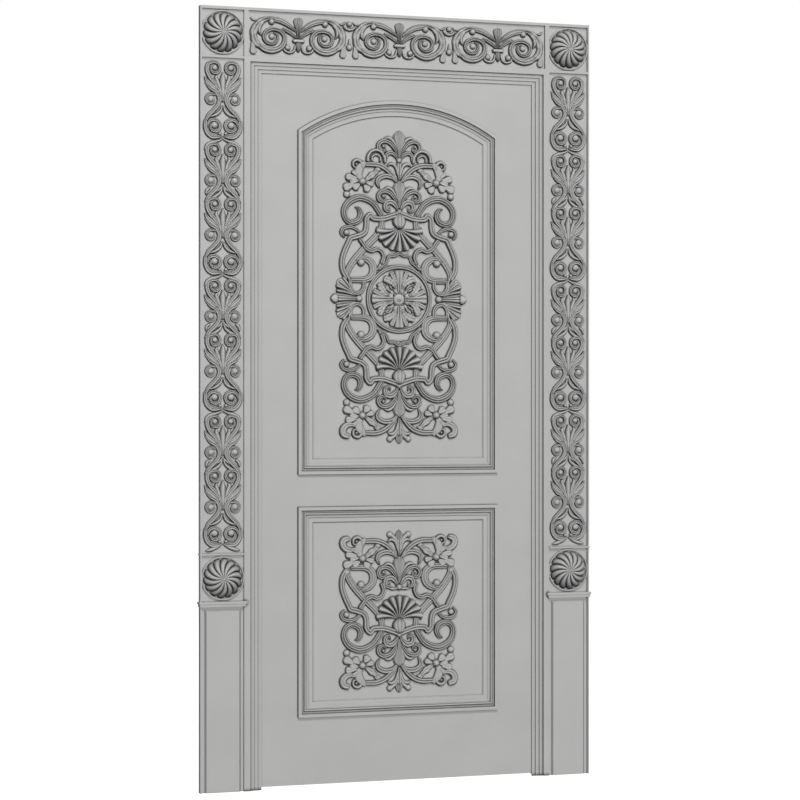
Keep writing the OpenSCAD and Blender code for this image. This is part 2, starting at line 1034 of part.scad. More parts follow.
// Panel carving: left upper quarter, measured from the middle of the medallion
ring_scroll = [
  [-140, 54, 8], [-98, 57, 10], [-78, 80, 12], [-86, 106, 11], [-106, 116, 9], [-122, 110, 8]
];
cartouche = [[-62, 96, 4], [-30, 119, 5], [0, 131, 5]];
diagonal = [[-72, 184, 7], [-122, 128, 9], [-146, 92, 7]];
strap = [
  [-8, 246, 7], [-50, 232, 8], [-88, 240, 8], [-100, 208, 8],
  [-118, 183, 8], [-147, 172, 8], [-171, 110, 8], [-164, 70, 7]
];
c_scroll = [
  [-57, 247, 9], [-86, 281, 10], [-122, 291, 11], [-156, 274, 11],
  [-164, 240, 9], [-142, 220, 9], [-120, 236, 8], [-126, 260, 4]
];
hook = [[-118, 189, 4], [-138, 206, 5], [-168, 200, 5], [-172, 186, 4]];
u_loop = [[-148, 49, 5], [-145, 26, 5], [-126, 16, 5], [-110, 30, 5], [-108, 50, 5]];
volute = [[-6, 272, 6], [-40, 275, 7], [-64, 288, 7], [-62, 310, 7], [-44, 310, 6], [-40, 295, 6]];
c_curl = [[-8, 340, 5], [-32, 356, 7], [-60, 348, 6], [-66, 330, 5]];
arch_band = [[-12, 346, 5], [-40, 375, 7], [-68, 386, 7], [-100, 384, 5]];
lily = [[-108, 346, 5], [-122, 362, 7], [-120, 384, 6], [-136, 388, 5], [-132, 376, 4]];
corner_hook = [[-138, 366, 4], [-158, 362, 5], [-175, 378, 6], [-171, 398, 7], [-160, 400, 6]];
side_arch = [[-42, 394, 6], [-48, 424, 7], [-72, 435, 8], [-95, 420, 7], [-97, 398, 5]];
crest_volute = [[-5, 412, 5], [-40, 422, 7], [-65, 440, 7], [-52, 458, 6], [-42, 444, 6]];

module flower(k) {
  r = panel_relief;
  bead(-110 * k, 336 * k, 10 * k, r);
  leaf(-108 * k, 338 * k, 152, 28 * k, 10 * k, r - 3);
  leaf(-114 * k, 336 * k, -112, 54 * k, 12 * k, r - 2);
  leaf(-96 * k, 336 * k, 48, 54 * k, 10 * k, r - 2);
}

// The end of the carving: palmette, flowers, curls and arches
module end_group(k) {
  r = panel_relief;
  stroke(fit(volute, k, k), r);
  stroke(fit(c_curl, k, k), r - 2);
  stroke(fit(arch_band, k, k), r - 1);
  stroke(fit(lily, k, k), r - 2);
  flower(k);
}

module end_middle(k) {
  leaf(0, 262 * k, 0, 84 * k, 14 * k, panel_relief + 1);
  leaf(0, 344 * k, 0, 46 * k, 9 * k, panel_relief - 2);
}

module end_corner(k) {
  stroke(fit(corner_hook, k, k), panel_relief - 1);
  leaf(-8 * k, 384 * k, -44, 34 * k, 10 * k, panel_relief - 2);
}

// The run between the medallion and the end group
module run_group(k) {
  r = panel_relief;
  stroke(fit(ring_scroll, k, k), r);
  stroke(fit(diagonal, k, k), r - 3);
  stroke(fit(strap, k, k), r - 1);
  stroke(fit(c_scroll, k, k), r);
  stroke(fit(hook, k, k), r - 2);
  bead(-114 * k, 104 * k, 10 * k, r);
  bead(-160 * k, 190 * k, 9 * k, r - 1);
  bead(-159 * k, 297 * k, 10 * k, r - 2);
}

module run_middle(k) {
  r = panel_relief;
  shell(0, 209 * k, 180, 74 * k, r + 4);
  bead(0, 224 * k, 20 * k, r + 3);
  bead(0, 253 * k, 8 * k, r);
}

module finial(k) {
  r = panel_relief;
  both() {
    leaf(-128 * k, 0, -90, 82 * k, 13 * k, r);
    bead(-120 * k, 0, 10 * k, r);
  }
}

module finial_fan(k) {
  r = panel_relief;
  stroke(fit(u_loop, k, k), r - 2);
  leaf(-136 * k, 10 * k, -52, 62 * k, 10 * k, r - 2);
}

module medallion(k) {
  r = panel_relief;
  rotate([90, 0, 0])
    rotate_extrude($fn = 28)
      polygon([[86 * k, 0], [98 * k, 0], [92 * k, 0.8 * r]]);
  for (a = [0 : 90 : 270])
    leaf(18 * k * sin(a), 18 * k * cos(a), a, 67 * k, 30 * k, r - 1);
  for (a = [45 : 90 : 315])
    leaf(24 * k * sin(a), 24 * k * cos(a), a, 60 * k, 18 * k, r - 3);
  bead(0, 0, 21 * k, r + 2);
}

module upper_carving() {
  k = upper_k;
  r = panel_relief;
  color(paint)
    translate([0, face, (lock_high + crown) / 2 - 34 * k]) {
      medallion(k);
      finial(k);
      for (m = [0, 1])
        mirror([0, 0, m]) {
          both() {
            finial_fan(k);
            stroke(fit(cartouche, k, k), r - 2);
            run_group(k);
            end_group(k);
          }
          run_middle(k);
          end_middle(k);
        }
      both() {
        stroke(fit(side_arch, k, k), r);
        stroke(fit(crest_volute, k, k), r - 1);
      }
      leaf(0, 384 * k, 0, 106 * k, 13 * k, r + 1);
      mirror([0, 0, 1]) {
        both()
          end_corner(k);
        leaf(0, 384 * k, 0, 37 * k, 16 * k, r - 1);
      }
    }
}

module lower_carving() {
  k = lower_k;
  color(paint)
    translate([0, face, lower_mid - 5 * k]) {
      translate([0, 0, 184 * k])
        mirror([0, 0, 1]) {
          both() {
            run_group(k);
            end_group(k);
            end_corner(k);
          }
          run_middle(k);
          end_middle(k);
          leaf(0, 384 * k, 0, 37 * k, 16 * k, panel_relief - 1);
        }
      translate([0, 0, -183 * k]) {
        both() {
          end_group(k);
          end_corner(k);
        }
        end_middle(k);
        bead(0, 253 * k, 10 * k, panel_relief);
        leaf(0, 384 * k, 0, 37 * k, 16 * k, panel_relief - 1);
      }
    }
}

hinge_jamb();
lock_jamb();
head_jamb();
left_architrave();
right_architrave();
head_architrave();
left_pilaster();
right_pilaster();
left_pilaster_carving();
right_pilaster_carving();
frieze_board();
frieze_carving();
left_corner_block();
right_corner_block();
left_corner_rosette();
right_corner_rosette();
left_base_block();
right_base_block();
left_base_rosette();
right_base_rosette();
left_plinth();
right_plinth();
left_plinth_cap();
right_plinth_cap();
left_neck_fillet();
right_neck_fillet();
top_hinge_frame_plate();
middle_hinge_frame_plate();
bottom_hinge_frame_plate();
top_hinge_pin();
middle_hinge_pin();
bottom_hinge_pin();
frame_hinge_screws();
hinge_stile();
lock_stile();
top_rail();
lock_rail();
bottom_rail();
upper_panel();
lower_panel();
upper_moulding_left();
upper_moulding_right();
upper_moulding_arch();
upper_moulding_bottom();
lower_moulding_left();
lower_moulding_right();
lower_moulding_top();
lower_moulding_bottom();
upper_carving();
lower_carving();
top_hinge_leaf_plate();
middle_hinge_leaf_plate();
bottom_hinge_leaf_plate();
leaf_hinge_screws();
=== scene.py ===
# %% [markdown]
# # A carved temple door in its frame
# The door stands in a carved casing: two pilasters, a frieze, four rosettes and
# plain plinths. The leaf has two panels with carved ornament, and the whole of it is
# painted one quiet grey. The flat boards, mouldings and hinges come from the packed
# CAD model, and Blender adds the carving, the finishes, the light and the camera.

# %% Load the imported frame
import math

import bmesh
import bpy
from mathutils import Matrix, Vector


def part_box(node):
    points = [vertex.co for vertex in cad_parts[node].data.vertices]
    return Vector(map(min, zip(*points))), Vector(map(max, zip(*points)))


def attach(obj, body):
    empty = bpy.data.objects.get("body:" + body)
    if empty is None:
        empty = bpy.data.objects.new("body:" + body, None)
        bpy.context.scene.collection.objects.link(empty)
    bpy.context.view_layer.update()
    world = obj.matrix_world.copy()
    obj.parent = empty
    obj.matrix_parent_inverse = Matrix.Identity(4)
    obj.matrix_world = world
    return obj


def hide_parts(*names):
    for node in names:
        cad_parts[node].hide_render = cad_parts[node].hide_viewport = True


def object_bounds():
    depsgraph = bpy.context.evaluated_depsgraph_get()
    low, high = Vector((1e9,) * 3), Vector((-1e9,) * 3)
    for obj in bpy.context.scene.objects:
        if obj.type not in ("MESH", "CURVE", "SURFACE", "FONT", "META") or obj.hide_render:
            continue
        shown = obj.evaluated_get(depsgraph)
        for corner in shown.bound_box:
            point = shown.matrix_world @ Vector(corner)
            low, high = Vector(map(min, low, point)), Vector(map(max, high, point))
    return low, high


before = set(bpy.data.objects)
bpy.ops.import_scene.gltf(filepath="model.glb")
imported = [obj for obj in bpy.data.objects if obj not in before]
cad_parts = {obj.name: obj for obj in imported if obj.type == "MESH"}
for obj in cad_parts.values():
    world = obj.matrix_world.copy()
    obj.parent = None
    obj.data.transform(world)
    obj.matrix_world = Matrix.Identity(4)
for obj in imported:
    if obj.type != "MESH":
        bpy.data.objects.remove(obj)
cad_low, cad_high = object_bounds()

MM = 0.001
print("CAD box:", [round(v, 4) for v in cad_low], [round(v, 4) for v in cad_high])

# %% [markdown]
# ## Sums in nodes
# A carved scroll follows a rule: a band with a crowned, grooved section runs along a
# path. Geometry Nodes can sweep it, but a long formula needs dozens of Math nodes.
# The two small classes below let a formula be written as a plain Python sum, and add
# the nodes behind it.

# %% A helper for node trees
class Field:
    """A value inside a node tree. Sums with it add Math nodes."""

    def __init__(self, maker, socket):
        self.maker = maker
        self.socket = socket

    def __add__(self, other):
        return self.maker.math("ADD", self, other)

    def __sub__(self, other):
        return self.maker.math("SUBTRACT", self, other)

    def __rsub__(self, other):
        return self.maker.math("SUBTRACT", other, self)

    def __mul__(self, other):
        return self.maker.math("MULTIPLY", self, other)

    def __pow__(self, other):
        return self.maker.math("POWER", self, other)


class Maker:
    """Adds nodes to one tree, and sets or links their sockets by name."""

    COLUMNS, STEP_X, STEP_Y = 12, 220, -260

    def __init__(self, tree):
        self.tree = tree

    def node(self, kind, inputs=None, **settings):
        made = self.tree.nodes.new(kind)
        count = len(self.tree.nodes)
        down, along = divmod(count, self.COLUMNS)
        made.location = (self.STEP_X * along, self.STEP_Y * down)
        for name, value in settings.items():
            setattr(made, name, value)
        for name, value in (inputs or {}).items():
            self.feed(next(s for s in made.inputs if s.name == name and s.enabled), value)
        return made

    def feed(self, socket, value):
        if isinstance(value, Field):
            value = value.socket
        if isinstance(value, bpy.types.NodeSocket):
            self.tree.links.new(value, socket)
        else:
            socket.default_value = value

    def field(self, kind, inputs=None, output=None, **settings):
        made = self.node(kind, inputs, **settings)
        shown = [s for s in made.outputs if s.enabled]
        picked = next(s for s in shown if output in (None, s.name))
        return Field(self, picked)

    def math(self, operation, *values):
        made = self.node("ShaderNodeMath", operation=operation)
        for socket, value in zip(made.inputs, values):
            self.feed(socket, value)
        return Field(self, made.outputs[0])

    def attribute(self, name):
        return self.field("GeometryNodeInputNamedAttribute", {"Name": name})

    def axes(self, vector):
        """The three numbers of a vector."""
        made = self.node("ShaderNodeSeparateXYZ", {"Vector": vector})
        return [Field(self, socket) for socket in made.outputs]

    def store(self, geometry, name, value):
        """Keeps a number at every point of a geometry, under a name."""
        return self.field(
            "GeometryNodeStoreNamedAttribute",
            {"Geometry": geometry, "Name": name, "Value": value},
            data_type="FLOAT", domain="POINT",
        )

    def wave(self, phase, power):
        """A row of rounded ridges, from 0 in the grooves to 1 on the crests."""
        return self.math("ABSOLUTE", self.math("SINE", phase)) ** power


UPRIGHT_TURN = (math.pi / 2, 0.0, 0.0)


def new_tree(name, inputs):
    """An empty Geometry Nodes tree with named inputs: {name: (socket kind, value)}."""
    tree = bpy.data.node_groups.new(name, "GeometryNodeTree")
    for label, (kind, value) in inputs.items():
        socket = tree.interface.new_socket(label, in_out="INPUT", socket_type="NodeSocket" + kind)
        if value is not None:
            socket.default_value = value
    tree.interface.new_socket("Geometry", in_out="OUTPUT", socket_type="NodeSocketGeometry")
    return tree, Maker(tree), tree.nodes.new("NodeGroupInput").outputs


def end_tree(make, flat_work, place, material):
    """Stands the flat work up at its place against the door, and ends the tree there."""
    stood = make.field(
        "GeometryNodeTransform",
        {"Geometry": flat_work, "Translation": place, "Rotation": UPRIGHT_TURN},
    )
    whole = make.field("GeometryNodeRealizeInstances", {"Geometry": stood})
    done = make.field("GeometryNodeSetMaterial", {"Geometry": whole, "Material": material})
    make.feed(make.node("NodeGroupOutput").inputs[0], done)


print("node helper ready")

# %% [markdown]
# ## The paint
# The door is one colour, a matt neutral grey, over wood. A flat colour would look like
# plastic. So the paint is slightly mottled and carries faint brush marks along the grain.
# Shade is painted into it as well: it is darker on the steep sides of a cut and in tight
# corners. The carving stores how much of this painted shade each point gets in an
# attribute named relief, a moulding uses the slope of its own surface, and an Ambient
# Occlusion node finds the corners. The painted shade follows the surface, not the camera.

# %% Paint finishes
PAINT_WORN = (0.515, 0.515, 0.51, 1.0)
PAINT_DULL = (0.49, 0.49, 0.485, 1.0)
# The near-black of the painted shade, and the least share of paint left in a shaded corner.
PAINTED_SHADE_COLOUR = (0.022, 0.022, 0.021, 1.0)
DARKEST_PAINTED_CORNER = 0.05

# The casing's outer edge and top, and all behind the wall plane, get no painted shade.
CASING_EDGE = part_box("right_pilaster")[1].x - 3 * MM
CASING_TOP = cad_high.z - MM
WALL_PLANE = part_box("left_pilaster")[1].y - MM

# How much painted shade each kind of surface gets. least: the tone left on a steep side.
# reach: how near a corner has to be, in metres. open: the shares of open sky at which a
# corner gets the darkest painted shade and none.
TONES = {
    "plain": dict(least=1.0, reach=0.006, open=(0.2, 0.85)),
    "moulded": dict(least=0.35, reach=0.006, open=(0.1, 0.7)),
    "stepped": dict(least=0.25, reach=0.010, open=(0.58, 0.985)),
    "carved": dict(least=0.04, reach=0.006, open=(0.2, 0.85)),
}


def new_material(name):
    """A material, the maker of its nodes, and its shader."""
    made = bpy.data.materials.new(name)
    made.use_nodes = True
    return made, Maker(made.node_tree), made.node_tree.nodes["Principled BSDF"]


def mixed(make, factor, first, second):
    """A colour between two colours."""
    made = make.node("ShaderNodeMix", data_type="RGBA")
    colours = [s for s in made.inputs if s.type == "RGBA"]
    make.feed(made.inputs[0], factor)
    make.feed(colours[0], first)
    make.feed(colours[1], second)
    return next(s for s in made.outputs if s.type == "RGBA")


def steepness(make, carved):
    """1 on faces that lie flat to the front, towards 0 on the steep sides of a cut."""
    if carved:
        return make.field("ShaderNodeAttribute", output="Fac", attribute_name="relief")
    spot = make.node("ShaderNodeTexCoord")
    _, front, _ = make.axes(spot.outputs["Normal"])
    x, y, z = make.axes(spot.outputs["Object"])
    # Painted shade on steep faces, except on the casing's outer edge, its top and all behind the
    # wall plane.
    flat = front ** 2.0
    outside = make.math("GREATER_THAN", make.math("ABSOLUTE", x), CASING_EDGE)
    above = make.math("GREATER_THAN", z, CASING_TOP)
    behind = make.math("GREATER_THAN", y, WALL_PLANE)
    return make.math("MINIMUM", flat + outside + above + behind, 1.0)


def with_painted_shade(make, colour, surface):
    """A colour with painted shade: darker on the steep sides of a cut and in corners."""
    tones = TONES[surface]
    if surface != "plain":
        flat = steepness(make, surface == "carved")
        colour = mixed(make, flat * (1.0 - tones["least"]) + tones["least"], PAINTED_SHADE_COLOUR, colour)
    # Painted shade in corners: an Ambient Occlusion node darkens the paint where surfaces close
    # in.
    open_sky = make.field(
        "ShaderNodeAmbientOcclusion", {"Distance": tones["reach"]}, output="AO", samples=6
    )
    shut, clear = tones["open"]
    unshaded = make.field(
        "ShaderNodeMapRange",
        {"Value": open_sky, "From Min": shut, "From Max": clear, "To Min": DARKEST_PAINTED_CORNER},
    )
    return mixed(make, unshaded, PAINTED_SHADE_COLOUR, colour)


def paint(name, grain, surface):
    """Matt grey paint. grain is how much each axis is squeezed for the brush marks."""
    finish, make, shader = new_material(name)
    place = make.node("ShaderNodeTexCoord").outputs["Object"]
    brush = make.field("ShaderNodeMapping", {"Vector": place, "Scale": grain})
    mottle = make.field("ShaderNodeTexNoise", {"Vector": place, "Scale": 7.0, "Detail": 5.0})
    streak = make.field("ShaderNodeTexNoise", {"Vector": brush, "Scale": 1.0, "Detail": 6.0})
    speck = make.field("ShaderNodeTexNoise", {"Vector": place, "Scale": 420.0, "Detail": 2.0})
    tone = make.field(
        "ShaderNodeMapRange",
        {"Value": mottle * 0.8 + streak * 0.2, "From Min": 0.36, "From Max": 0.64},
    )
    colour = mixed(make, tone, PAINT_DULL, PAINT_WORN)
    # The base colour carries the painted shade of steep sides and corners.
    make.feed(shader.inputs["Base Color"], with_painted_shade(make, colour, surface))
    rough = make.field(
        "ShaderNodeMapRange",
        {"Value": streak, "From Min": 0.3, "From Max": 0.7, "To Min": 0.52, "To Max": 0.68},
    )
    make.feed(shader.inputs["Roughness"], rough)
    shader.inputs["Specular IOR Level"].default_value = 0.14
    bump = make.node(
        "ShaderNodeBump",
        {"Height": streak * 0.8 + speck * 0.2, "Strength": 0.07, "Distance": 0.001},
    )
    make.feed(shader.inputs["Normal"], bump.outputs["Normal"])
    return finish


ALONG_Z = (150.0, 150.0, 5.0)
ALONG_X = (5.0, 150.0, 150.0)
UPRIGHT = {kind: paint("paint_" + kind + "_upright", ALONG_Z, kind) for kind in TONES}
ACROSS = {
    kind: paint("paint_" + kind + "_across", ALONG_X, kind)
    for kind in ("plain", "moulded", "stepped")
}
CARVED_PAINT = UPRIGHT["carved"]
print("paints:", [m.name for m in bpy.data.materials if m.name.startswith("paint")])

# %% [markdown]
# ## The hinge steel
# The hinges are satin steel, rolled along the plates. A metal shader with a fine
# stretched noise gives the brushed grain, and a slower noise the handled patches.

# %% Hinge steel
def satin_steel():
    """Brushed steel with a few duller patches."""
    finish, make, shader = new_material("satin_steel")
    shader.inputs["Metallic"].default_value = 1.0
    place = make.node("ShaderNodeTexCoord").outputs["Object"]
    rolled = make.field("ShaderNodeMapping", {"Vector": place, "Scale": (900.0, 900.0, 40.0)})
    grain = make.field("ShaderNodeTexNoise", {"Vector": rolled, "Scale": 1.0, "Detail": 4.0})
    patch = make.field("ShaderNodeTexNoise", {"Vector": place, "Scale": 38.0, "Detail": 3.0})
    bright = (0.60, 0.60, 0.61, 1.0)
    dull = (0.44, 0.44, 0.45, 1.0)
    make.feed(shader.inputs["Base Color"], mixed(make, patch, dull, bright))
    rough = make.field(
        "ShaderNodeMapRange", {"Value": grain * 0.5 + patch * 0.5, "To Min": 0.28, "To Max": 0.5}
    )
    make.feed(shader.inputs["Roughness"], rough)
    bump = make.node("ShaderNodeBump", {"Height": grain, "Strength": 0.12, "Distance": 0.0004})
    make.feed(shader.inputs["Normal"], bump.outputs["Normal"])
    return finish


STEEL = satin_steel()
print("steel:", STEEL.name)

# %% [markdown]
# ## Finishes on the CAD boards
# The boards, panels and mouldings are right as the CAD model gives them, so they only
# need paint. Brush marks run along the grain: up the stiles and pilasters, across the
# rails and the frieze.

# %% Paint the boards
ACROSS_WORDS = (
    "rail", "frieze", "head", "plinth_cap", "fillet",
    "moulding_top", "moulding_bottom", "moulding_arch",
)
STEPPED_WORDS = ("architrave", "moulding")
MOULDED_WORDS = ("block", "plinth", "fillet", "pilaster", "frieze")
STEEL_WORDS = ("hinge_frame_plate", "hinge_leaf_plate", "hinge_pin", "hinge_screws")


def has(node, words):
    return any(word in node for word in words)


def finish_for(node):
    """The steel or the paint of a CAD node, from the words in its name."""
    if has(node, STEEL_WORDS):
        return STEEL
    kind = "moulded" if has(node, MOULDED_WORDS) else "plain"
    if has(node, STEPPED_WORDS):
        kind = "stepped"
    return (ACROSS if has(node, ACROSS_WORDS) else UPRIGHT)[kind]


for node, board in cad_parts.items():
    board.data.materials.clear()
    board.data.materials.append(finish_for(node))
print("painted nodes:", len(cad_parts))

# %% [markdown]
# ## The carver's strokes
# All of the ornament is made of a few kinds of cut: grooved straps, reeds, plain ribs,
# lobed leaves, hollow petals and round beads. Each stroke is a path of given points
# with a half width, drawn on the board in millimetres. The wire of these paths goes
# into one tree, which smooths it, sweeps a section along it, and raises that section
# to a crown with its grooves, veins and hollow. Beads are points of the same wire.

# %% Kinds of cut
RIB = dict(ridges=1, groove=0.5)
STRAP = dict(ridges=2, groove=0.38)
REED = dict(ridges=3, groove=0.4)
PLATE = dict(ridges=1, groove=0.0)
HOLLOW = dict(ridges=1, groove=0.0, cup=0.75)
LEAF = dict(ridges=2, groove=0.3, lobes=5, scallop=0.2, vein=0.3, step=2.0)
PLAIN_CUT = dict(
    ridges=1, groove=0.0, cup=0.0, lobes=0, scallop=0.0, vein=0.0, step=3.0, blunt=1.0, lift=0.0
)
WIRE_FIELDS = (
    "half", "tall", "crown", "along", "ridges", "groove", "cup",
    "lobes", "scallop", "vein", "step", "bead",
)


def cut(kind, points, halves, crown, closed=False, **changes):
    """One stroke: its kind, its points, its half widths and the height of its crown."""
    if not isinstance(halves, (list, tuple)):
        halves = [halves] * len(points)
    path = [(x, z, half) for (x, z), half in zip(points, halves)]
    return {**PLAIN_CUT, **kind, **changes, "path": path, "crown": crown, "closed": closed}


def bead(x, z, half, crown, tall=None):
    """A round or oval boss."""
    return dict(PLAIN_CUT, path=[(x, z, half)], tall=tall or half, crown=crown)


def moved(cuts, dx=0.0, dz=0.0, side=1, up=1):
    """The same cuts somewhere else; side or up of -1 turns them over."""
    return [
        dict(c, path=[(dx + side * x, dz + up * z, half) for x, z, half in c["path"]])
        for c in cuts
    ]


def both_sides(cuts):
    """The cuts of the left side, and the same turned over to the right."""
    return cuts + moved(cuts, side=-1)


POINTED = 1.5
ROUND_END = ((0.5, 0.86), (0.85, 0.52), (1.0, 0.06))  # shares of the reach and half width


def round_ends(path, blunt):
    """Adds a rounded end to each end of an open stroke that isn't already a point."""
    for _ in range(2):
        path = path[::-1]
        x, z, half = path[-1]
        bx, bz = path[-2][:2]
        if half < POINTED:
            continue
        reach = math.hypot(x - bx, z - bz)
        ux, uz = blunt * half * (x - bx) / reach, blunt * half * (z - bz) / reach
        path = path + [
            (x + ux * out, z + uz * out, half * size)
            for out, size in ROUND_END
        ]
    return path


def wire(name, cuts):
    """One mesh of points and edges that holds all of the strokes and beads."""
    points, edges = [], []
    fields = {key: [] for key in WIRE_FIELDS}
    for c in cuts:
        is_bead = "tall" in c
        path = c["path"] if is_bead or c["closed"] else round_ends(c["path"], c["blunt"])
        first = len(points)
        runs = [0.0]
        for (ax, az, _), (bx, bz, _) in zip(path, path[1:]):
            runs.append(runs[-1] + math.hypot(bx - ax, bz - az))
        for (x, z, half), run in zip(path, runs):
            points.append((x * MM, z * MM, c["lift"] * MM))
            values = dict(
                c, half=half * MM, tall=c.get("tall", 0.0) * MM, crown=c["crown"] * MM,
                step=c["step"] * MM, along=run / max(runs[-1], 1.0), bead=float(is_bead),
            )
            for key in WIRE_FIELDS:
                fields[key].append(float(values[key]))
        last = len(points) - 1
        edges += [(i, i + 1) for i in range(first, last)]
        if not is_bead and c["closed"]:
            edges.append((last, first))
    mesh = bpy.data.meshes.new(name)
    mesh.from_pydata(points, edges, [])
    for key, values in fields.items():
        mesh.attributes.new(key, "FLOAT", "POINT").data.foreach_set("value", values)
    return mesh


print("cuts ready:", len(WIRE_FIELDS), "fields a point")

# %% [markdown]
# ## The tree that cuts the wood
# The wire lies flat, with its height upwards, as a board lies on the bench. The tree
# splits off the beads, turns the rest into smooth curves, and sweeps a flat line along
# them. Set Position then lifts every point by the formula of its cut. The two edge
# points always go down to the board, so no stroke hangs in the air. At the end a line
# of points repeats the motif, and the work is stood up against the door.

# %% Sweep a flat section along the wire
SINK = 0.4 * MM
LEAST_HALF = 0.05 * MM
EDGE = 0.999
LOBE_ROUND = 0.6


def smooth_wire(make, strokes):
    """The strokes as smooth curves. The width is pinched between the lobes of a leaf."""
    curve = make.field("GeometryNodeMeshToCurve", {"Mesh": strokes})
    curve = make.field("GeometryNodeCurveSplineType", {"Curve": curve}, spline_type="CATMULL_ROM")
    spaced = make.node("GeometryNodeResampleCurve", mode="LENGTH")
    make.feed(spaced.inputs["Curve"], curve)
    make.feed(spaced.inputs["Length"], make.attribute("step"))
    curve = make.field("GeometryNodeSetCurveNormal", {"Curve": spaced.outputs[0]}, mode="Z_UP")
    half = make.math("MAXIMUM", make.attribute("half"), LEAST_HALF)
    lobe_phase = make.attribute("along") * make.attribute("lobes") * math.pi
    pinch = 1.0 - make.attribute("scallop") * (1.0 - make.wave(lobe_phase, LOBE_ROUND))
    return make.store(curve, "half", half * pinch)


def flat_section(make, across):
    """A line from -1 at one edge to 1 at the other, closed underneath, stored as u."""
    line = make.field(
        "GeometryNodeMeshLine",
        {"Count": across, "Start Location": (-1.0, 0.0, 0.0), "Offset": (1.0, 0.0, 0.0)},
        mode="END_POINTS",
    )
    place, _, _ = make.axes(make.field("GeometryNodeInputPosition"))
    section = make.store(line, "u", place)
    section = make.field("GeometryNodeMeshToCurve", {"Mesh": section})
    return make.field("GeometryNodeSetSplineCyclic", {"Geometry": section, "Cyclic": True})


print("section from edge to edge, sunk by", SINK)

# %% Crown, beads and tone
CROWN_SQUARE, CROWN_ROUND = 2.8, 0.55
RIDGE_ROUND = 0.9
CUP_NARROW = 1.5
VEIN_SLANT = 0.12
STEEPEST = 1.6
# How strongly grooves, hollows and the foot of each stroke take painted shade.
GROOVE_TONE, HOLLOW_TONE, CORNER_TONE = 0.4, 0.6, 0.85


def crowned(make):
    """A swept point's height over its wire, the tone its painted shade leaves, and 0 if it is an
    edge.
    """
    u = make.attribute("u")
    away = make.math("ABSOLUTE", u)
    envelope = make.math("MAXIMUM", 1.0 - away ** CROWN_SQUARE, 0.0) ** CROWN_ROUND
    ridge = make.wave((u + 1.0) * make.attribute("ridges") * (math.pi / 2), RIDGE_ROUND)
    ridged = 1.0 - make.attribute("groove") * (1.0 - ridge)
    bowl = make.math("MAXIMUM", 1.0 - u * u * CUP_NARROW, 0.0)
    hollow = 1.0 - make.attribute("cup") * bowl
    slant = make.attribute("along") + (1.0 - away) * VEIN_SLANT
    lobe = make.wave(slant * make.attribute("lobes") * math.pi, LOBE_ROUND)
    veined = 1.0 - make.attribute("vein") * away ** 0.5 * (1.0 - lobe)
    top = make.math("MINIMUM", make.attribute("crown"), make.attribute("half") * STEEPEST)
    height = envelope * ridged * hollow * veined * top
    # Painted shade: a dark outline along both edges of a stroke, and darker grooves and hollows.
    corner = away ** 5.0 * CORNER_TONE
    unshaded = ridged ** GROOVE_TONE * hollow ** HOLLOW_TONE * (1.0 - corner)
    return height, unshaded, make.math("LESS_THAN", away, EDGE)


def bosses(make, points):
    """One round boss at each bead's point, stretched to its sizes."""
    ball = make.field("GeometryNodeMeshUVSphere", {"Segments": 20, "Rings": 12, "Radius": 1.0})
    size = make.field(
        "ShaderNodeCombineXYZ",
        {"X": make.attribute("half"), "Y": make.attribute("tall"), "Z": make.attribute("crown")},
    )
    made = make.field(
        "GeometryNodeInstanceOnPoints", {"Points": points, "Instance": ball, "Scale": size}
    )
    return make.field("GeometryNodeRealizeInstances", {"Geometry": made})


def flat_mark(make, geometry, raised):
    """Stores the tone of the painted shade at each point: 1 where it lies flat and stands high,
    down to 0.
    """
    _, _, facing = make.axes(make.field("GeometryNodeInputNormal"))
    return make.store(geometry, "relief", facing ** 2.0 * raised)


print("steepest stroke:", STEEPEST, "times its half width")

# %% Build the carving tree
def carving_tree():
    tree, make, given = new_tree("carved_strokes", {
        "Wire": ("Geometry", None),
        "Across": ("Int", 13),
        "Sink": ("Float", SINK),
        "Rows": ("Int", 1),
        "Row Step": ("Vector", (0.0, 0.0, 0.0)),
        "Ground": ("Vector", (0.0, 0.0, 0.0)),
        "Material": ("Material", None),
    })
    is_bead = make.math("GREATER_THAN", make.attribute("bead"), 0.5)
    parts = make.node(
        "GeometryNodeSeparateGeometry",
        {"Geometry": given["Wire"], "Selection": is_bead}, domain="POINT",
    )
    swept = make.field("GeometryNodeCurveToMesh", {
        "Curve": smooth_wire(make, parts.outputs["Inverted"]),
        "Profile Curve": flat_section(make, given["Across"]),
        "Scale": make.attribute("half"), "Fill Caps": True,
    })
    height, unshaded, inside = crowned(make)
    x, y, level = make.axes(make.field("GeometryNodeInputPosition"))
    raised = inside * (level + height) - (1.0 - inside) * given["Sink"]
    place = make.field("ShaderNodeCombineXYZ", {"X": x, "Y": y, "Z": raised})
    strokes = make.field("GeometryNodeSetPosition", {"Geometry": swept, "Position": place})
    motif = make.node("GeometryNodeJoinGeometry")
    for part in (bosses(make, parts.outputs["Selection"]), strokes):
        tree.links.new(part.socket, motif.inputs[0])
    marked = flat_mark(make, motif.outputs[0], unshaded)
    spots = make.field(
        "GeometryNodeMeshLine",
        {"Count": given["Rows"], "Offset": given["Row Step"]}, mode="OFFSET",
    )
    row = make.field("GeometryNodeInstanceOnPoints", {"Points": spots, "Instance": marked})
    end_tree(make, row, given["Ground"], given["Material"])
    return tree


CARVING_TREE = carving_tree()
print("carving tree:", len(CARVING_TREE.nodes), "nodes")

# %% Run a tree and keep a plain mesh
SHARP = math.radians(50)


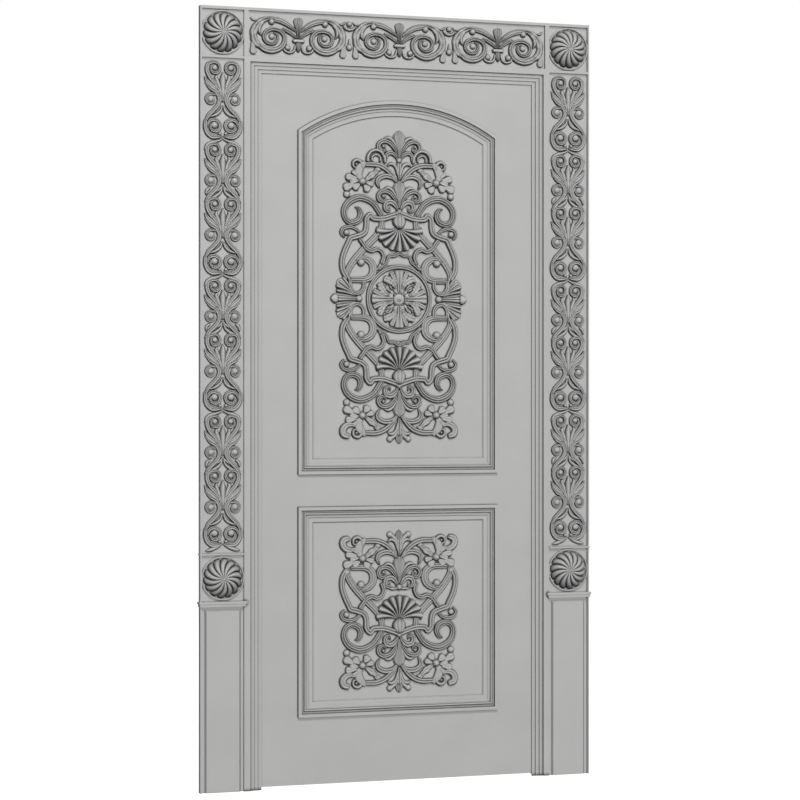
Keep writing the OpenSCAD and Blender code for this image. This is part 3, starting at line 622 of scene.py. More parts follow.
def plain_mesh(name, tree, mesh, values):
    """Evaluates a tree on a mesh, with its inputs set by identifier."""
    holder = bpy.data.objects.new(name, mesh)
    bpy.context.scene.collection.objects.link(holder)
    modifier = holder.modifiers.new(tree.name, "NODES")
    modifier.node_group = tree
    for item in tree.interface.items_tree:
        if item.name in values:
            modifier[item.identifier] = values[item.name]
    graph = bpy.context.evaluated_depsgraph_get()
    made = bpy.data.meshes.new_from_object(holder.evaluated_get(graph))
    holder.modifiers.remove(modifier)
    bpy.data.objects.remove(holder)
    for key in WIRE_FIELDS + ("u",):
        if key in made.attributes:
            made.attributes.remove(made.attributes[key])
    return made


def finished_piece(node, body, meshes):
    """Joins plain meshes into one closed piece that stands for a CAD node."""
    name = node + "_detail"
    joined = bmesh.new()
    for mesh in meshes:
        joined.from_mesh(mesh)
    bmesh.ops.dissolve_degenerate(joined, dist=0.001 * MM, edges=joined.edges)
    rims = [e for e in joined.edges if e.is_boundary]
    bmesh.ops.holes_fill(joined, edges=rims)
    bmesh.ops.recalc_face_normals(joined, faces=joined.faces)
    mesh = bpy.data.meshes.new(name)
    joined.to_mesh(mesh)
    joined.free()
    mesh.materials.clear()
    mesh.materials.append(CARVED_PAINT)
    mesh.shade_smooth()
    mesh.set_sharp_from_angle(angle=SHARP)
    piece = bpy.data.objects.new(name, mesh)
    bpy.context.scene.collection.objects.link(piece)
    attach(piece, body)
    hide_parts(node)
    print(name, "faces:", len(mesh.polygons))


def carved(name, cuts, ground, across=13, rows=1, row_step=0.0):
    """Sweeps a list of cuts on the board plane y = ground."""
    values = {
        "Across": across, "Sink": SINK, "Rows": rows,
        "Row Step": (0.0, row_step * MM, 0.0), "Ground": (0.0, ground, 0.0),
        "Material": CARVED_PAINT,
    }
    return plain_mesh(name, CARVING_TREE, wire(name, cuts), values)


FIELD_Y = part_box("frieze_carving")[1].y
FACE_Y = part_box("upper_carving")[1].y
print("board planes:", round(FIELD_Y, 5), round(FACE_Y, 5))

# %% [markdown]
# ## The medallion of the upper panel
# The middle of the upper panel is a ring with an open flower of acanthus leaves. Four
# broad leaves lie on the axes, each with a fluted middle and two lobes a side, and a
# pair of small curls fills each gap between them. One leaf is drawn pointing up, and
# turned round the beaded button.

# %% Medallion
def polar(spots):
    """Points from a radius and a lean in degrees from upright."""
    return [
        (radius * math.sin(math.radians(lean)), radius * math.cos(math.radians(lean)))
        for radius, lean in spots
    ]


def circle(radius, count=40):
    """Points all round a circle."""
    return polar([(radius, 360.0 * k / count) for k in range(count)])


def turned(cuts, angle):
    """The cuts turned clockwise about the middle, in degrees."""
    c, s = math.cos(math.radians(angle)), math.sin(math.radians(angle))
    return [
        dict(part, path=[(c * x + s * z, c * z - s * x, half) for x, z, half in part["path"]])
        for part in cuts
    ]


def acanthus():
    """One broad leaf, pointing up from the button: a fluted middle and two lobes a side."""
    outer = polar([(30, 19), (46, 22), (60, 29), (71, 36)])
    inner = polar([(44, 10), (60, 14), (78, 17)])
    lobes = [
        cut(LEAF, outer, [4, 10.5, 14.5, 13], 9.5, scallop=0.3, blunt=0.55),
        cut(LEAF, inner, [6, 9.5, 10], 9, scallop=0.3, blunt=0.5),
    ]
    return [
        cut(PLATE, [(0, 21), (0, 36), (0, 50), (0, 64)], [18, 21, 25, 26], 5.5, blunt=0.3),
        *both_sides(lobes),
        cut(STRAP, [(0, 23), (0, 42), (0, 64), (0, 80)], [8, 9, 14, 18], 10, blunt=0.3),
    ]


def medallion():
    """The ring, the curls, the four leaves and the button."""
    curls = [
        cut(RIB, [(-4, 33), (-6, 43), (-5, 52), (1, 56)], [2.5, 4.5, 4, 2], 7),
        cut(RIB, [(4, 33), (6, 41), (7, 48)], [2.5, 4.5, 3], 6.5),
    ]
    cuts = [cut(STRAP, circle(93.5), 7.2, 8, closed=True)]
    for angle in (45, 135, 225, 315):
        cuts += turned(curls, angle)
    for angle in (0, 90, 180, 270):
        cuts += turned(acanthus(), angle)
    cuts += [bead(0, 0, 22, 6.5), bead(0, 0, 11, 9), bead(0, 0, 4, 11)]
    cuts += [bead(x, z, 3.6, 9) for x, z in circle(17.5, 14)]
    return cuts


print("medallion cuts:", len(medallion()))

# %% [markdown]
# ## The straps beside the medallion
# Ringed scrolls, interlaced straps and a shell run from the medallion to each end.
# They are drawn once, for the left upper quarter, measured from the middle of the
# medallion, and turned over for the other quarters.

# %% Side finials and shell
DEEP_GROOVE = 0.85
SHELL_HINGE = 209
SHELL_REACH = 72
RIB_SPREAD, TIP_SPREAD = 20.5, 0.3


def side_finial():
    """The finial on the left of the medallion, upper half of its fan."""
    ribs = [
        ([(-134, 10), (-158, 17), (-184, 22)], [2.5, 5, 7], 9),
        ([(-134, 12), (-158, 25), (-184, 35)], [2.5, 5.5, 8], 9.5),
        ([(-135, 13), (-158, 33), (-177, 47)], [2.5, 5.5, 8], 9.5),
        ([(-136, 14), (-154, 40), (-166, 56)], [2.5, 5.5, 8], 9.5),
        ([(-138, 16), (-148, 44), (-153, 60)], [2.5, 5, 6.5], 9),
    ]
    fan = [cut(PLATE, [(-136, 13), (-158, 31), (-172, 42)], [6, 18, 18], 5.5)]
    fan += [cut(RIB, *rib, groove=DEEP_GROOVE) for rib in ribs]
    loop = cut(
        STRAP, [(-148, 50), (-146, 30), (-134, 16), (-117, 18), (-107, 33), (-107, 50)], 7, 8.5
    )
    return fan + [loop]


def finial_stem():
    """The stem and tip of the finial on the left of the medallion."""
    return [
        cut(STRAP, [(-128, 0), (-150, 0), (-172, 0), (-184, 0)], [5, 7, 9.5, 11], 8.5, blunt=0.3),
        cut(PLATE, [(-187, 0), (-193, 0), (-201, 0), (-208, 0)], [13, 16, 11, 1], 9.5, blunt=0.3),
        bead(-121, 0, 11, 10),
    ]


def shell():
    """Nine ribs that open downwards from a hinge and curve apart towards their tips."""
    widths = ((0.12, 2.5), (0.4, 6.5), (0.7, 11.0), (0.94, 13.5))
    ribs = []
    for k in (-4, 4, -3, 3, -2, 2, -1, 1, 0):
        points = polar([
            (q * SHELL_REACH, RIB_SPREAD * k * (1 - TIP_SPREAD + TIP_SPREAD * q))
            for q, _ in widths
        ])
        ribs.append(
            cut(RIB, points, [half for _, half in widths], 13.5, groove=DEEP_GROOVE, blunt=0.45)
        )
    return moved(ribs, dz=SHELL_HINGE, up=-1)


print("shell ribs:", len(shell()), "finial cuts:", len(side_finial()))

# %% Straps, scrolls and cartouche
def run_group():
    """Scrolls and straps between the medallion and an end, left side."""
    return [
        cut(REED, [(-55, 247), (-52, 215), (-62, 190), (-80, 170), (-110, 140), (-140, 105),
                   (-156, 75), (-152, 57)], [9, 10, 11, 11, 11, 11, 10, 6], 7.5),
        cut(REED, [(-140, 54), (-105, 55), (-85, 65), (-78, 85), (-85, 105), (-105, 117),
                   (-125, 112)], [9, 10, 12, 13, 12, 10, 8], 8),
        bead(-115, 104.5, 12, 11),
        cut(STRAP, [(-117, 169), (-110, 160), (-100, 146), (-84, 139), (-68, 144), (-54, 138),
                    (-47, 122), (-52, 106)], 7.5, 9, lift=2.5),
        cut(STRAP, [(0, 248), (-25, 239), (-50, 232), (-78, 233), (-87, 243), (-98, 231),
                    (-99, 210), (-104, 192), (-120, 182), (-146, 174), (-151, 165), (-165, 135),
                    (-172, 108), (-170, 82), (-160, 64)], 9.5, 9.5),
        cut(REED, [(-57, 247), (-80, 278), (-117, 292), (-149, 280), (-165, 256), (-162, 231),
                   (-145, 219), (-123, 226), (-116, 244), (-123, 260), (-135, 264)],
            [10, 10.5, 11, 11, 10.5, 9.5, 9.5, 10.5, 10, 7, 1.2], 10),
        cut(STRAP, [(-116, 186), (-130, 201), (-150, 207), (-169, 201), (-174, 188), (-166, 177)],
            [4, 6, 6.5, 6.5, 6, 4], 8.5),
        bead(-159, 190, 10, 9.5),
    ]


def run_middle():
    """The shell with the bud at its hinge."""
    return shell() + [
        cut(REED, [(0, 246), (0, 236), (0, 225), (0, 214), (0, 206)], [8, 18, 22, 18, 8], 14,
            groove=0.3, blunt=0.5),
        bead(0, 253, 8, 11),
    ]


def cartouche():
    """The plate between the medallion and a shell, its waved border and the border's feet."""
    border = [
        (-61, 88), (-51, 97), (-41, 104), (-36, 110), (-34, 118), (-28, 125), (-16, 125), (-8, 130)
    ]
    border += [(0, 133)] + [(-x, z) for x, z in border[::-1]]
    return [
        cut(PLATE, [(-30, 108), (0, 110), (30, 108)], 14, 1.5),
        cut(STRAP, border, 6, 8.5),
        *both_sides([cut(RIB, [(-68, 84), (-60, 92), (-57, 102)], [4, 6, 4], 7)]),
    ]


print("strap cuts:", len(run_group()), "cartouche cuts:", len(cartouche()))

# %% [markdown]
# ## The ends of the panel carving
# Each end has a palmette with volutes, flowers, long arches and lilies. The top of the
# upper panel ends in a second palmette, and the other ends in a bud with two hooks in
# the corners.

# %% Palmette, flowers and arches
def palmette():
    """A hollow leaf with a rim, between two volutes."""
    side = [
        cut(RIB, [(-3, 275), (-10, 298), (-20, 314), (-33, 322), (-46, 318)],
            [2, 5, 6.5, 6.5, 3], 8),
        cut(STRAP, [(-3, 268), (-15, 292), (-30, 308), (-49, 312), (-62, 302), (-62, 288),
                    (-51, 282), (-41, 288), (-43, 298)], [3, 6, 7.5, 7.5, 7.5, 7, 6, 4.5, 3], 9.5),
        bead(-48, 297, 5.5, 8.5),
    ]
    rim = [(0, 339), (9, 336), (15.5, 327), (15, 316), (10, 301), (5, 284)]
    rim = [(-x, z) for x, z in rim[:0:-1]] + rim
    return both_sides(side) + [
        cut(HOLLOW, [(0, 266), (0, 283), (0, 300), (0, 313), (0, 324), (0, 332), (0, 337)],
            [3, 6, 11, 16, 18.5, 15.5, 7], 10.5, lift=3.0, cup=0.6),
        cut(PLATE, rim, 2.6, 10.5, lift=2.0),
    ]


def small_volutes():
    """The volute below the palmette, left side."""
    return [
        cut(STRAP, [(-4, 258), (-12, 272), (-24, 281), (-38, 278), (-43, 266), (-38, 256),
                    (-29, 257), (-27, 265)], [4, 8, 9.5, 9, 8, 6.5, 5, 3], 9),
    ]


def flower():
    """A ball with creased petals about it, and a leaf that rises to the middle."""
    petals = [
        ((-106, 328), (-98, 319), 5, 14), ((-120, 331), (-131, 323), 5, 14),
        ((-142, 328), (-157, 321), 8, 15), ((-124, 341), (-141, 337), 5, 11.5),
        ((-132, 347), (-152, 350), 7, 13), ((-121, 350), (-137, 364), 4, 9),
        ((-100, 336), (-85, 332), 5, 11),
    ]
    cuts = [
        cut(STRAP, [start, end], [near, far], 9, groove=0.15, blunt=0.9)
        for start, end, near, far in petals
    ]
    cuts += [
        cut(LEAF, [(-102, 342), (-84, 356), (-64, 372)], [5, 12, 5], 8, lobes=3),
        bead(-63, 374, 7.5, 8),
        bead(-158, 300, 11, 9),
        bead(-112, 338, 12.5, 14.5),
    ]
    return cuts


def lily():
    """The bell over a flower with its curl, left side."""
    return [
        cut(HOLLOW, [(-115, 345), (-123, 358), (-119, 376), (-106, 390)], [7, 13.5, 14, 9], 9,
            cup=0.2),
        cut(RIB, [(-112, 378), (-114, 392), (-126, 400), (-138, 394), (-138, 381), (-129, 378)],
            [5, 6.5, 6.5, 6, 5, 3.5], 9),
        bead(-129, 388, 4.5, 7),
    ]


def end_group():
    """Everything at an end that is drawn for the left side."""
    return small_volutes() + flower() + lily() + [
        cut(STRAP, [(-8, 340), (-20, 352), (-41, 356), (-60, 349), (-66, 336), (-60, 322)],
            [5, 8, 9, 9, 8, 4], 9),
        cut(STRAP, [(-8, 342), (-24, 362), (-44, 379), (-70, 388), (-99, 388)],
            [5, 8, 9, 9, 8], 9.5),
        cut(RIB, [(-4, 362), (-11, 384), (-24, 392), (-35, 386)], [5, 6.5, 6.5, 3], 8),
        cut(RIB, [(-57, 372), (-66, 378), (-73, 372)], [4, 5, 4], 7),
    ]


def end_middle():
    """The stem over a palmette."""
    return [cut(STRAP, [(0, 346), (0, 366), (0, 388)], [4, 7, 9], 8)]


def crest():
    """The top of the upper panel, left side."""
    arch = [(-43, 398), (-46, 412), (-55, 425), (-70, 430), (-85, 425), (-94, 412), (-95, 400)]
    inner = [(-57, 400), (-58, 411), (-70, 417), (-81, 411), (-82, 400)]
    return [
        cut(RIB, arch, 6.5, 9.5),
        cut(RIB, inner, 4.5, 7.5),
        cut(STRAP, [(-4, 402), (-12, 416), (-25, 424), (-38, 418), (-40, 402)],
            [3, 6, 7.5, 7, 5], 9),
    ]


def closing():
    """What closes a square end: a bud between two knobs, and a hook in each corner."""
    side = [
        cut(RIB, [(-4, 382), (-12, 394), (-22, 403)], [4, 7, 8], 7),
        bead(-28, 406, 10, 8),
        cut(STRAP, [(-134, 367), (-149, 363), (-162, 368), (-170, 380), (-167, 392), (-157, 396)],
            [5, 9, 11, 11.5, 11.5, 10], 10, groove=0.25),
    ]
    bud = cut(HOLLOW, [(0, 380), (0, 396), (0, 410), (0, 418)], [6, 12, 10, 3], 9)
    return both_sides(side) + [bud]


print("end cuts:", len(end_group()), "palmette cuts:", len(palmette()))

# %% [markdown]
# ## The two carved panels
# The upper carving is the medallion with straps and ends both ways. The lower one has
# the strapwork of one end, opening downwards, and a plain end group above it.

# %% Carve the panels
UPPER_MID = 1403.5
CREST_RISE = 145
LOWER_DOWN = 681.5
LOWER_UP = 314.5


def plain_end():
    """Palmette, flowers and arches, both sides, pointing up."""
    return both_sides(end_group()) + palmette() + end_middle()


def full_end():
    """Straps and end for both sides, pointing up."""
    return both_sides(run_group()) + run_middle() + plain_end()


upper_cuts = both_sides(finial_stem()) + medallion()
for up in (1, -1):
    upper_cuts += moved(cartouche() + both_sides(side_finial()) + full_end(), up=up)
upper_cuts += both_sides(crest()) + [bead(0, 402, 9, 9)] + moved(palmette(), dz=CREST_RISE)
upper_cuts += moved(closing(), up=-1)
upper = carved("upper_carving_cut", moved(upper_cuts, dz=UPPER_MID), FACE_Y)
finished_piece("upper_carving", "leaf", [upper])

small_leaf = cut(RIB, [(-6, 250), (-20, 249), (-38, 252)], [4, 5.5, 1.2], 7)
bead_and_leaves = both_sides([small_leaf]) + [bead(0, 253, 10, 11)]
lower_cuts = moved(full_end() + closing(), dz=LOWER_DOWN, up=-1)
lower_cuts += moved(plain_end() + closing() + bead_and_leaves, dz=LOWER_UP)
lower = carved("lower_carving_cut", lower_cuts, FACE_Y)
finished_piece("lower_carving", "leaf", [lower])

# %% [markdown]
# ## The pilasters
# A climbing scroll fills the sunk field of each pilaster: a pair of volutes that rise,
# a small pair, and a pair that hang, over and over at the same spacing. One unit is
# drawn, and the tree's row of points repeats it down the shaft.

# %% Volutes of a pilaster
def rising_volutes():
    """The volutes that rise, left side, about their own eyes."""
    return [
        cut(STRAP, [(-9, -66), (-28, -53), (-44, -39), (-52, -26)], [6, 8, 7.5, 3], 7.5),
        cut(STRAP, [(-2, -92), (-7, -66), (-20, -46), (-36, -28), (-45, -8), (-43, 9), (-32, 16),
                    (-19, 16), (-10, 8), (-9, -5), (-16, -13), (-27, -14), (-34, -6), (-32, 4)],
            [4, 6.5, 7.5, 8, 8, 7, 6, 5.5, 5.5, 5.5, 5.5, 5, 4.5, 3], 9),
        cut(RIB, [(-5, -74), (-12, -46), (-19, -29), (-17, -21)], [4, 6.5, 7, 4], 8),
        bead(-23, 1, 8.5, 7),
    ]


def bud_leaf():
    """The pointed leaf between two rising volutes."""
    return [cut(RIB, [(0, -80), (0, -52), (0, -30), (0, -12)], [5, 9.5, 10, 3], 10)]


def small_pair():
    """The small volutes with their long strap and leaf, left side, about the eyes' line."""
    return [
        cut(STRAP, [(-50, 46), (-36, 30), (-20, 21), (-12, 8), (-10, -4), (-15, -18), (-27, -32),
                    (-41, -46), (-49, -60)], [3, 6, 7, 7.5, 7.5, 7.5, 7.5, 7, 5], 9),
        cut(STRAP, [(-18, 13), (-30, 15), (-42, 12), (-48, 1), (-43, -10), (-32, -12), (-25, -4),
                    (-29, 5)], [4, 5, 5.5, 5.5, 5, 5, 4.5, 3], 8.5),
        bead(-35, 1, 11, 8.5),
        cut(RIB, [(-2, -18), (-7, -33), (-20, -44), (-38, -50)], [2.5, 5.5, 6, 3], 8),
    ]


def hanging_volutes():
    """The volutes that hang, left side, about their own eyes."""
    return [
        cut(STRAP, [(-50, 12), (-50, -8), (-43, -24), (-30, -33), (-13, -32), (-3, -30)],
            [6, 7.5, 8, 7.5, 6, 3], 8.5),
        cut(STRAP, [(-44, -3), (-40, 10), (-26, 16), (-11, 9), (-8, -5), (-16, -16), (-29, -16),
                    (-36, -6), (-33, 4)], [4, 6, 6.5, 6.5, 6.5, 6, 5.5, 5, 3], 9),
        bead(-24, 1, 11, 8.5),
        bead(-9, -23, 6, 8.5),
    ]


def linking_stems():
    """Small leaves beside the strap of a small pair, left side."""
    return [
        cut(RIB, [(-38, -22), (-46, -28), (-49, -40)], [4, 6, 3], 7),
        cut(RIB, [(0, -14), (-9, -24), (-22, -34)], [2.5, 5, 2], 7),
    ]


def heart_top():
    """The rib that joins a hanging pair to the rising pair below it, left side."""
    return [cut(RIB, [(0, 32), (-14, 25), (-32, 21), (-46, 13), (-52, 0)], [3, 5, 5.5, 5, 3], 7.5)]


print("volute cuts:", len(rising_volutes()), len(small_pair()), len(hanging_volutes()))

# %% Carve the pilasters
PILASTER_X = 524.0
PILASTER_DEPTH = 0.85
UNIT_STEP = -385.0
# Heights of the eyes of the topmost volutes, over the floor
FIRST_RISING, FIRST_SMALL, FIRST_HANGING = 2050, 1962, 1888
SECOND_RISING, SECOND_SMALL = 1819, 1732


def pilaster(x):
    """The three parts of one pilaster's carving, the first two as rows."""
    unit = moved(rising_volutes(), dz=FIRST_RISING) + moved(small_pair(), dz=FIRST_SMALL)
    unit += moved(hanging_volutes(), dz=FIRST_HANGING)
    unit = both_sides(unit) + moved(bud_leaf(), dz=FIRST_RISING)
    pair = moved(rising_volutes() + heart_top(), dz=SECOND_RISING)
    pair += moved(small_pair() + linking_stems(), dz=SECOND_SMALL)
    pair = both_sides(pair) + moved(bud_leaf(), dz=SECOND_RISING)
    foot = both_sides([
        cut(RIB, [(-3, 702), (-18, 694), (-36, 687), (-50, 684)], [3, 6.5, 6.5, 2], 6.5),
    ])
    meshes = []
    for cuts, rows in ((unit, 4), (pair, 3), (foot, 1)):
        shallow = [dict(c, crown=PILASTER_DEPTH * c["crown"]) for c in moved(cuts, dx=x)]
        meshes.append(
            carved("pilaster_row", shallow, FIELD_Y, across=9, rows=rows, row_step=UNIT_STEP)
        )
    return meshes


for side, x in (("left", -PILASTER_X), ("right", PILASTER_X)):
    finished_piece(side + "_pilaster_carving", "frame", pilaster(x))

# %% [markdown]
# ## The frieze
# Three motifs stand side by side over the door: a bud on a collar between two large
# scrolls, with feathered leaves rising over them. Small balls, drops and bells fill
# the gaps.

# %% Scrolls of the frieze
def frieze_half():
    """Left half of one motif, in heights above the floor."""
    return [
        cut(LEAF, [(-58, 2200), (-92, 2197), (-118, 2182), (-131, 2157), (-127, 2131),
                   (-107, 2115), (-84, 2108)], [4, 8, 12, 13, 12, 10, 5], 9.5,
            groove=0.45, vein=0.45),
        cut(STRAP, [(-122, 2128), (-106, 2112), (-82, 2106), (-58, 2112), (-43, 2128), (-41, 2149),
                    (-54, 2164), (-76, 2168), (-96, 2159), (-101, 2142), (-91, 2129), (-74, 2127),
                    (-62, 2138), (-62, 2152), (-72, 2159)],
            [3, 8, 9.5, 9, 8.5, 8, 7.5, 7, 7, 7, 6.5, 6, 5.5, 4.5, 3], 9.5),
        bead(-78, 2147, 9.5, 7.5),
        cut(RIB, [(-98, 2190), (-112, 2176), (-115, 2160), (-109, 2148)], [3, 6.5, 6.5, 2], 9.5),
        cut(REED, [(-8, 2166), (-28, 2181), (-48, 2191), (-70, 2196)], [4, 8, 9, 8], 9.5),
        bead(-79, 2189, 10, 10),
        cut(STRAP, [(-6, 2146), (-24, 2160), (-44, 2169)], [4, 6.5, 5], 8.5),
        cut(RIB, [(-9, 2124), (-14, 2108), (-26, 2103), (-39, 2107), (-44, 2116)],
            [3.5, 5, 5, 5, 3.5], 8),
        bead(-32, 2117, 9.5, 9.5),
    ]


def frieze_middle():
    """The bud, its collar and the tail below."""
    return [
        cut(REED, [(0, 2134), (0, 2119), (0, 2108)], [9, 8.5, 5], 9, groove=0.6, blunt=0.8),
        cut(REED, [(0, 2144), (0, 2165), (0, 2182), (0, 2193)], [5, 7.5, 12.5, 15.5], 10,
            ridges=5, groove=0.35, blunt=0.75),
        cut(PLATE, [(-13, 2137), (0, 2137), (13, 2137)], 6.5, 10),
    ]


def frieze_corner():
    """A bell and a hook, which fill a corner to the left of a link's middle."""
    return [
        cut(HOLLOW, [(-16, 2130), (-18, 2114), (-19, 2104)], [4, 8, 11], 8.5, cup=0.3),
        cut(RIB, [(-12, 2198), (-19, 2192), (-29, 2192)], [3, 4, 2.5], 7),
    ]


def frieze_link():
    """What fills the gap between two motifs, about its own middle."""
    cup = [cut(RIB, [(-17, 2187), (-10, 2179), (0, 2176)], [3.5, 5, 5], 8)]
    drop = [
        cut(RIB, [(0, 2150), (0, 2136)], [2.5, 5], 7),
        bead(0, 2126, 9.5, 9, tall=10.5),
        bead(0, 2193, 9, 9.5),
    ]
    return both_sides(frieze_corner() + cup) + drop


print("frieze cuts:", len(frieze_half()), len(frieze_middle()), len(frieze_link()))

# %% Carve the frieze
FRIEZE_STEP = 303.0
frieze_cuts = []
for i in (-1, 0, 1):
    frieze_cuts += moved(both_sides(frieze_half()) + frieze_middle(), dx=FRIEZE_STEP * i)
for i in (-0.5, 0.5):
    frieze_cuts += moved(frieze_link(), dx=FRIEZE_STEP * i)
for side in (-1, 1):
    frieze_cuts += moved(frieze_corner(), dx=FRIEZE_STEP * 1.5 * side, side=side)
frieze = carved("frieze_cut", frieze_cuts, FIELD_Y, across=11)
finished_piece("frieze_carving", "frame", [frieze])

# %% [markdown]
# ## The rosettes
# A rosette is a cushion of fourteen petals that swirl out from the middle, and the
# right-hand ones turn the other way. It follows one rule all round, so a second tree
# bends a plain grid into a disc, swirls it, and raises it to a grooved dome.

# %% Build the rosette tree
ROSETTE_RADIUS = 57 * MM
PETALS = 14
PETAL_COLUMNS, SPOKE_POINTS = 16, 26
OVER_RIM = SPOKE_POINTS / (SPOKE_POINTS - 1)  # leaves the last point for the rim's foot
SWIRL = math.radians(20)
DOME_SQUARE, DOME_ROUND = 2.6, 0.62
CREST_ROUND, CREST_SHARPER = 0.18, 0.22
RIM_SCALLOP = 0.12
PETAL_GROOVE, PETAL_TONE = 0.7, 0.9


def rosette_tree():
    tree, make, given = new_tree("swirled_rosette", {
        "Radius": ("Float", ROSETTE_RADIUS),
        "Rise": ("Float", 24 * MM),
        "Petals": ("Int", PETALS),
        "Swirl": ("Float", SWIRL),
        "Sink": ("Float", SINK),
        "Centre": ("Vector", (0.0, 0.0, 0.0)),
        "Material": ("Material", None),
    })
    petals = Field(make, given["Petals"])
    grid = make.node(
        "GeometryNodeMeshGrid",
        {"Size X": 1.0, "Size Y": 1.0,
         "Vertices X": petals * PETAL_COLUMNS + 1, "Vertices Y": SPOKE_POINTS},
    )
    turn, spoke, _ = make.axes(grid.outputs["UV Map"])
    around = turn * (2 * math.pi)
    out = make.math("MINIMUM", spoke * OVER_RIM, 1.0)
    crest = make.wave(around * petals * 0.5, out * CREST_SHARPER + CREST_ROUND)
    angle = around + out * out * given["Swirl"]
    groove = 1.0 - crest
    far = out * given["Radius"] * (1.0 - out * out * RIM_SCALLOP * groove)
    dome = make.math("MAXIMUM", 1.0 - out ** DOME_SQUARE, 0.0) ** DOME_ROUND
    rim = make.math("LESS_THAN", out, EDGE)
    shape = dome * (1.0 - out * PETAL_GROOVE * groove)
    height = shape * given["Rise"] * rim - (1.0 - rim) * given["Sink"]
    place = make.field(
        "ShaderNodeCombineXYZ",
        {"X": far * make.math("SINE", angle), "Y": far * make.math("COSINE", angle), "Z": height},
    )
    bent = make.field(
        "GeometryNodeSetPosition", {"Geometry": grid.outputs["Mesh"], "Position": place}
    )
    joined = make.field("GeometryNodeMergeByDistance", {"Geometry": bent, "Distance": 0.02 * MM})
    # Painted shade: the steep sides and the grooves between the petals are darker, more so towards
    # the rim.
    marked = flat_mark(make, joined, 1.0 - out * PETAL_TONE * groove)
    end_tree(make, marked, given["Centre"], given["Material"])
    return tree


ROSETTE_TREE = rosette_tree()
print("rosette tree:", len(ROSETTE_TREE.nodes), "nodes")

# %% Carve the rosettes
ROSETTES = [
    side + block for block in ("_corner_rosette", "_base_rosette") for side in ("left", "right")
]
for node in ROSETTES:
    low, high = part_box(node)
    middle = (low + high) / 2
    values = {
        "Radius": ROSETTE_RADIUS, "Rise": high.y - low.y, "Petals": PETALS, "Sink": SINK,
        "Swirl": SWIRL if "left" in node else -SWIRL,
        "Centre": (middle.x, high.y, middle.z), "Material": CARVED_PAINT,
    }
    disc = plain_mesh(node + "_cut", ROSETTE_TREE, bpy.data.meshes.new(node), values)
    finished_piece(node, "frame", [disc])

# %% [markdown]
# ## Camera
# The photograph is a level view from a little to the left, with a long lens. Its place
# was found from the corners of the casing, whose sizes are known.

# %% Camera
camera = bpy.data.objects.new("camera", bpy.data.cameras.new("camera"))
camera.data.lens = 102.0
camera.data.sensor_width = 36.0
camera.location = (-1.959, -6.297, 1.111)
camera.rotation_euler = (math.radians(90), 0.0, math.radians(-17.35))
bpy.context.scene.collection.objects.link(camera)
bpy.context.scene.camera = camera
print("camera:", tuple(round(v, 3) for v in camera.location))

# %% [markdown]
# ## Light and floor
# The picture is a study in clay tones. The light falls from the front and high up,
# slopes that look up are bright, slopes that look down are dark, and hardly anything
# throws a shadow. A sun without shadows does that. A weak second sun from the same
# side gives the shadows back at a low level, and a soft lamp high in front makes the
# top of the door brighter than its foot. A weak lamp fills from the right, two more
# light the edge and the back, and a white surround gives the background. The floor is
# pale and keeps the shadow.

# %% Lamps
def lamp(name, place, target, kind="AREA", power=1.0, **settings):
    """A lamp at a place, aimed at a target."""
    data = bpy.data.lights.new(name, kind)
    data.energy = power
    for key, value in settings.items():
        setattr(data, key, value)
    made = bpy.data.objects.new(name, data)
    made.location = place
    made.rotation_euler = (Vector(target) - Vector(place)).to_track_quat("-Z", "Y").to_euler()
    bpy.context.scene.collection.objects.link(made)


MIDDLE = Vector((0.0, 0.0, 1.1))


def from_front(turn, rise, far):
    """A place in front of the door: turned to the right and raised, in degrees."""
    a, e = math.radians(turn), math.radians(rise)
    level = Vector((math.sin(a), -math.cos(a), 0.0)) * math.cos(e)
    return MIDDLE + far * (level + Vector((0.0, 0.0, math.sin(e))))


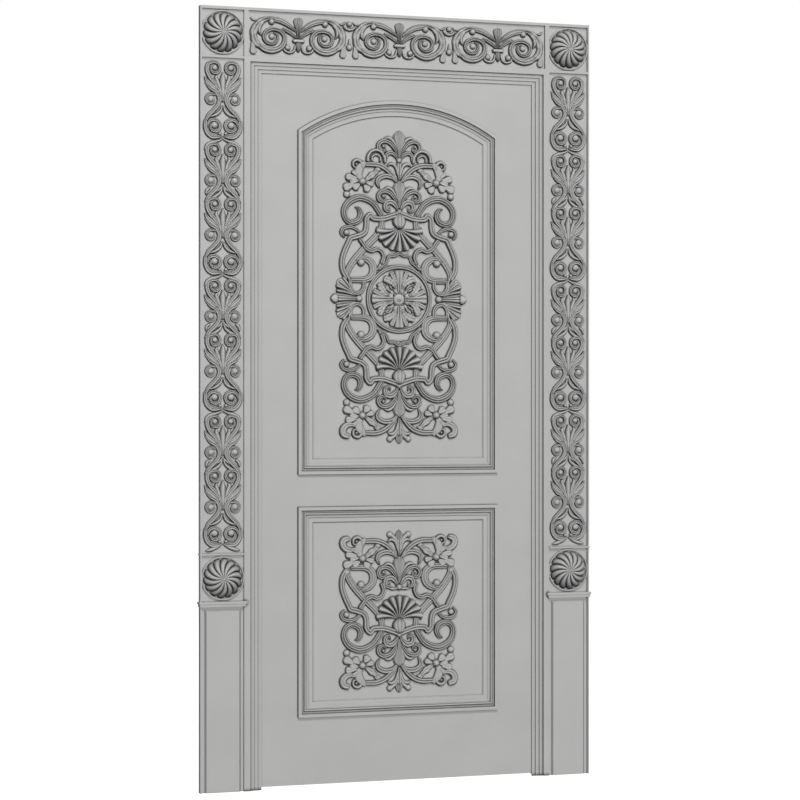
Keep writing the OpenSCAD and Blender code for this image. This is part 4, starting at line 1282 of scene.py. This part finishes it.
SUN_PLACE = from_front(-2, 45, 8.0)
lamp("key", SUN_PLACE, MIDDLE, "SUN", 2.14, use_shadow=False)
lamp("sun", SUN_PLACE, MIDDLE, "SUN", 0.55, angle=math.radians(12))
lamp("high", (-0.4, -3.4, 3.9), (0.0, 0.0, 1.6), power=54.0, size=1.6)
lamp("fill", from_front(50, 8, 6.0), MIDDLE, power=4.0, size=2.6)
lamp("side", (4.0, 1.2, 1.8), MIDDLE, power=60.0, size=2.0)
lamp("back", (1.5, 4.5, 3.0), MIDDLE, power=220.0, size=3.0)

# %% World
def background_seen(make):
    """1 for rays that show the background: from the camera, in gloss or through glass."""
    ray = make.node("ShaderNodeLightPath")
    seen = Field(make, ray.outputs["Is Camera Ray"]) + ray.outputs["Is Glossy Ray"]
    return make.math("MINIMUM", seen + ray.outputs["Is Transmission Ray"], 1.0)


world = bpy.data.worlds.new("white_surround")
world.use_nodes = True
bpy.context.scene.world = world
make = Maker(world.node_tree)
sky = world.node_tree.nodes["Background"]
AMBIENT = 0.02
sky.inputs["Color"].default_value = (1.0, 1.0, 1.0, 1.0)
make.feed(sky.inputs["Strength"], background_seen(make) * (1.0 - AMBIENT) + AMBIENT)
bpy.context.scene.view_settings.view_transform = "Standard"
print("world:", world.name)

# %% Floor
FLOOR_REACH = 9.0
FLOOR_GLOW = 0.95
floor_mesh = bpy.data.meshes.new("floor")
floor_mesh.from_pydata(
    [(-FLOOR_REACH, -FLOOR_REACH, 0), (FLOOR_REACH, -FLOOR_REACH, 0),
     (FLOOR_REACH, FLOOR_REACH, 0), (-FLOOR_REACH, FLOOR_REACH, 0)], [], [(0, 1, 2, 3)],
)
floor = bpy.data.objects.new("floor", floor_mesh)
floor_paint, make, shader = new_material("pale_floor")
shader.inputs["Base Color"].default_value = (0.12, 0.12, 0.12, 1.0)
shader.inputs["Roughness"].default_value = 0.9
make.feed(shader.inputs["Emission Strength"], background_seen(make) * FLOOR_GLOW)
shader.inputs["Emission Color"].default_value = (1.0, 1.0, 1.0, 1.0)
floor_mesh.materials.append(floor_paint)
bpy.context.scene.collection.objects.link(floor)
print("floor reach:", FLOOR_REACH)
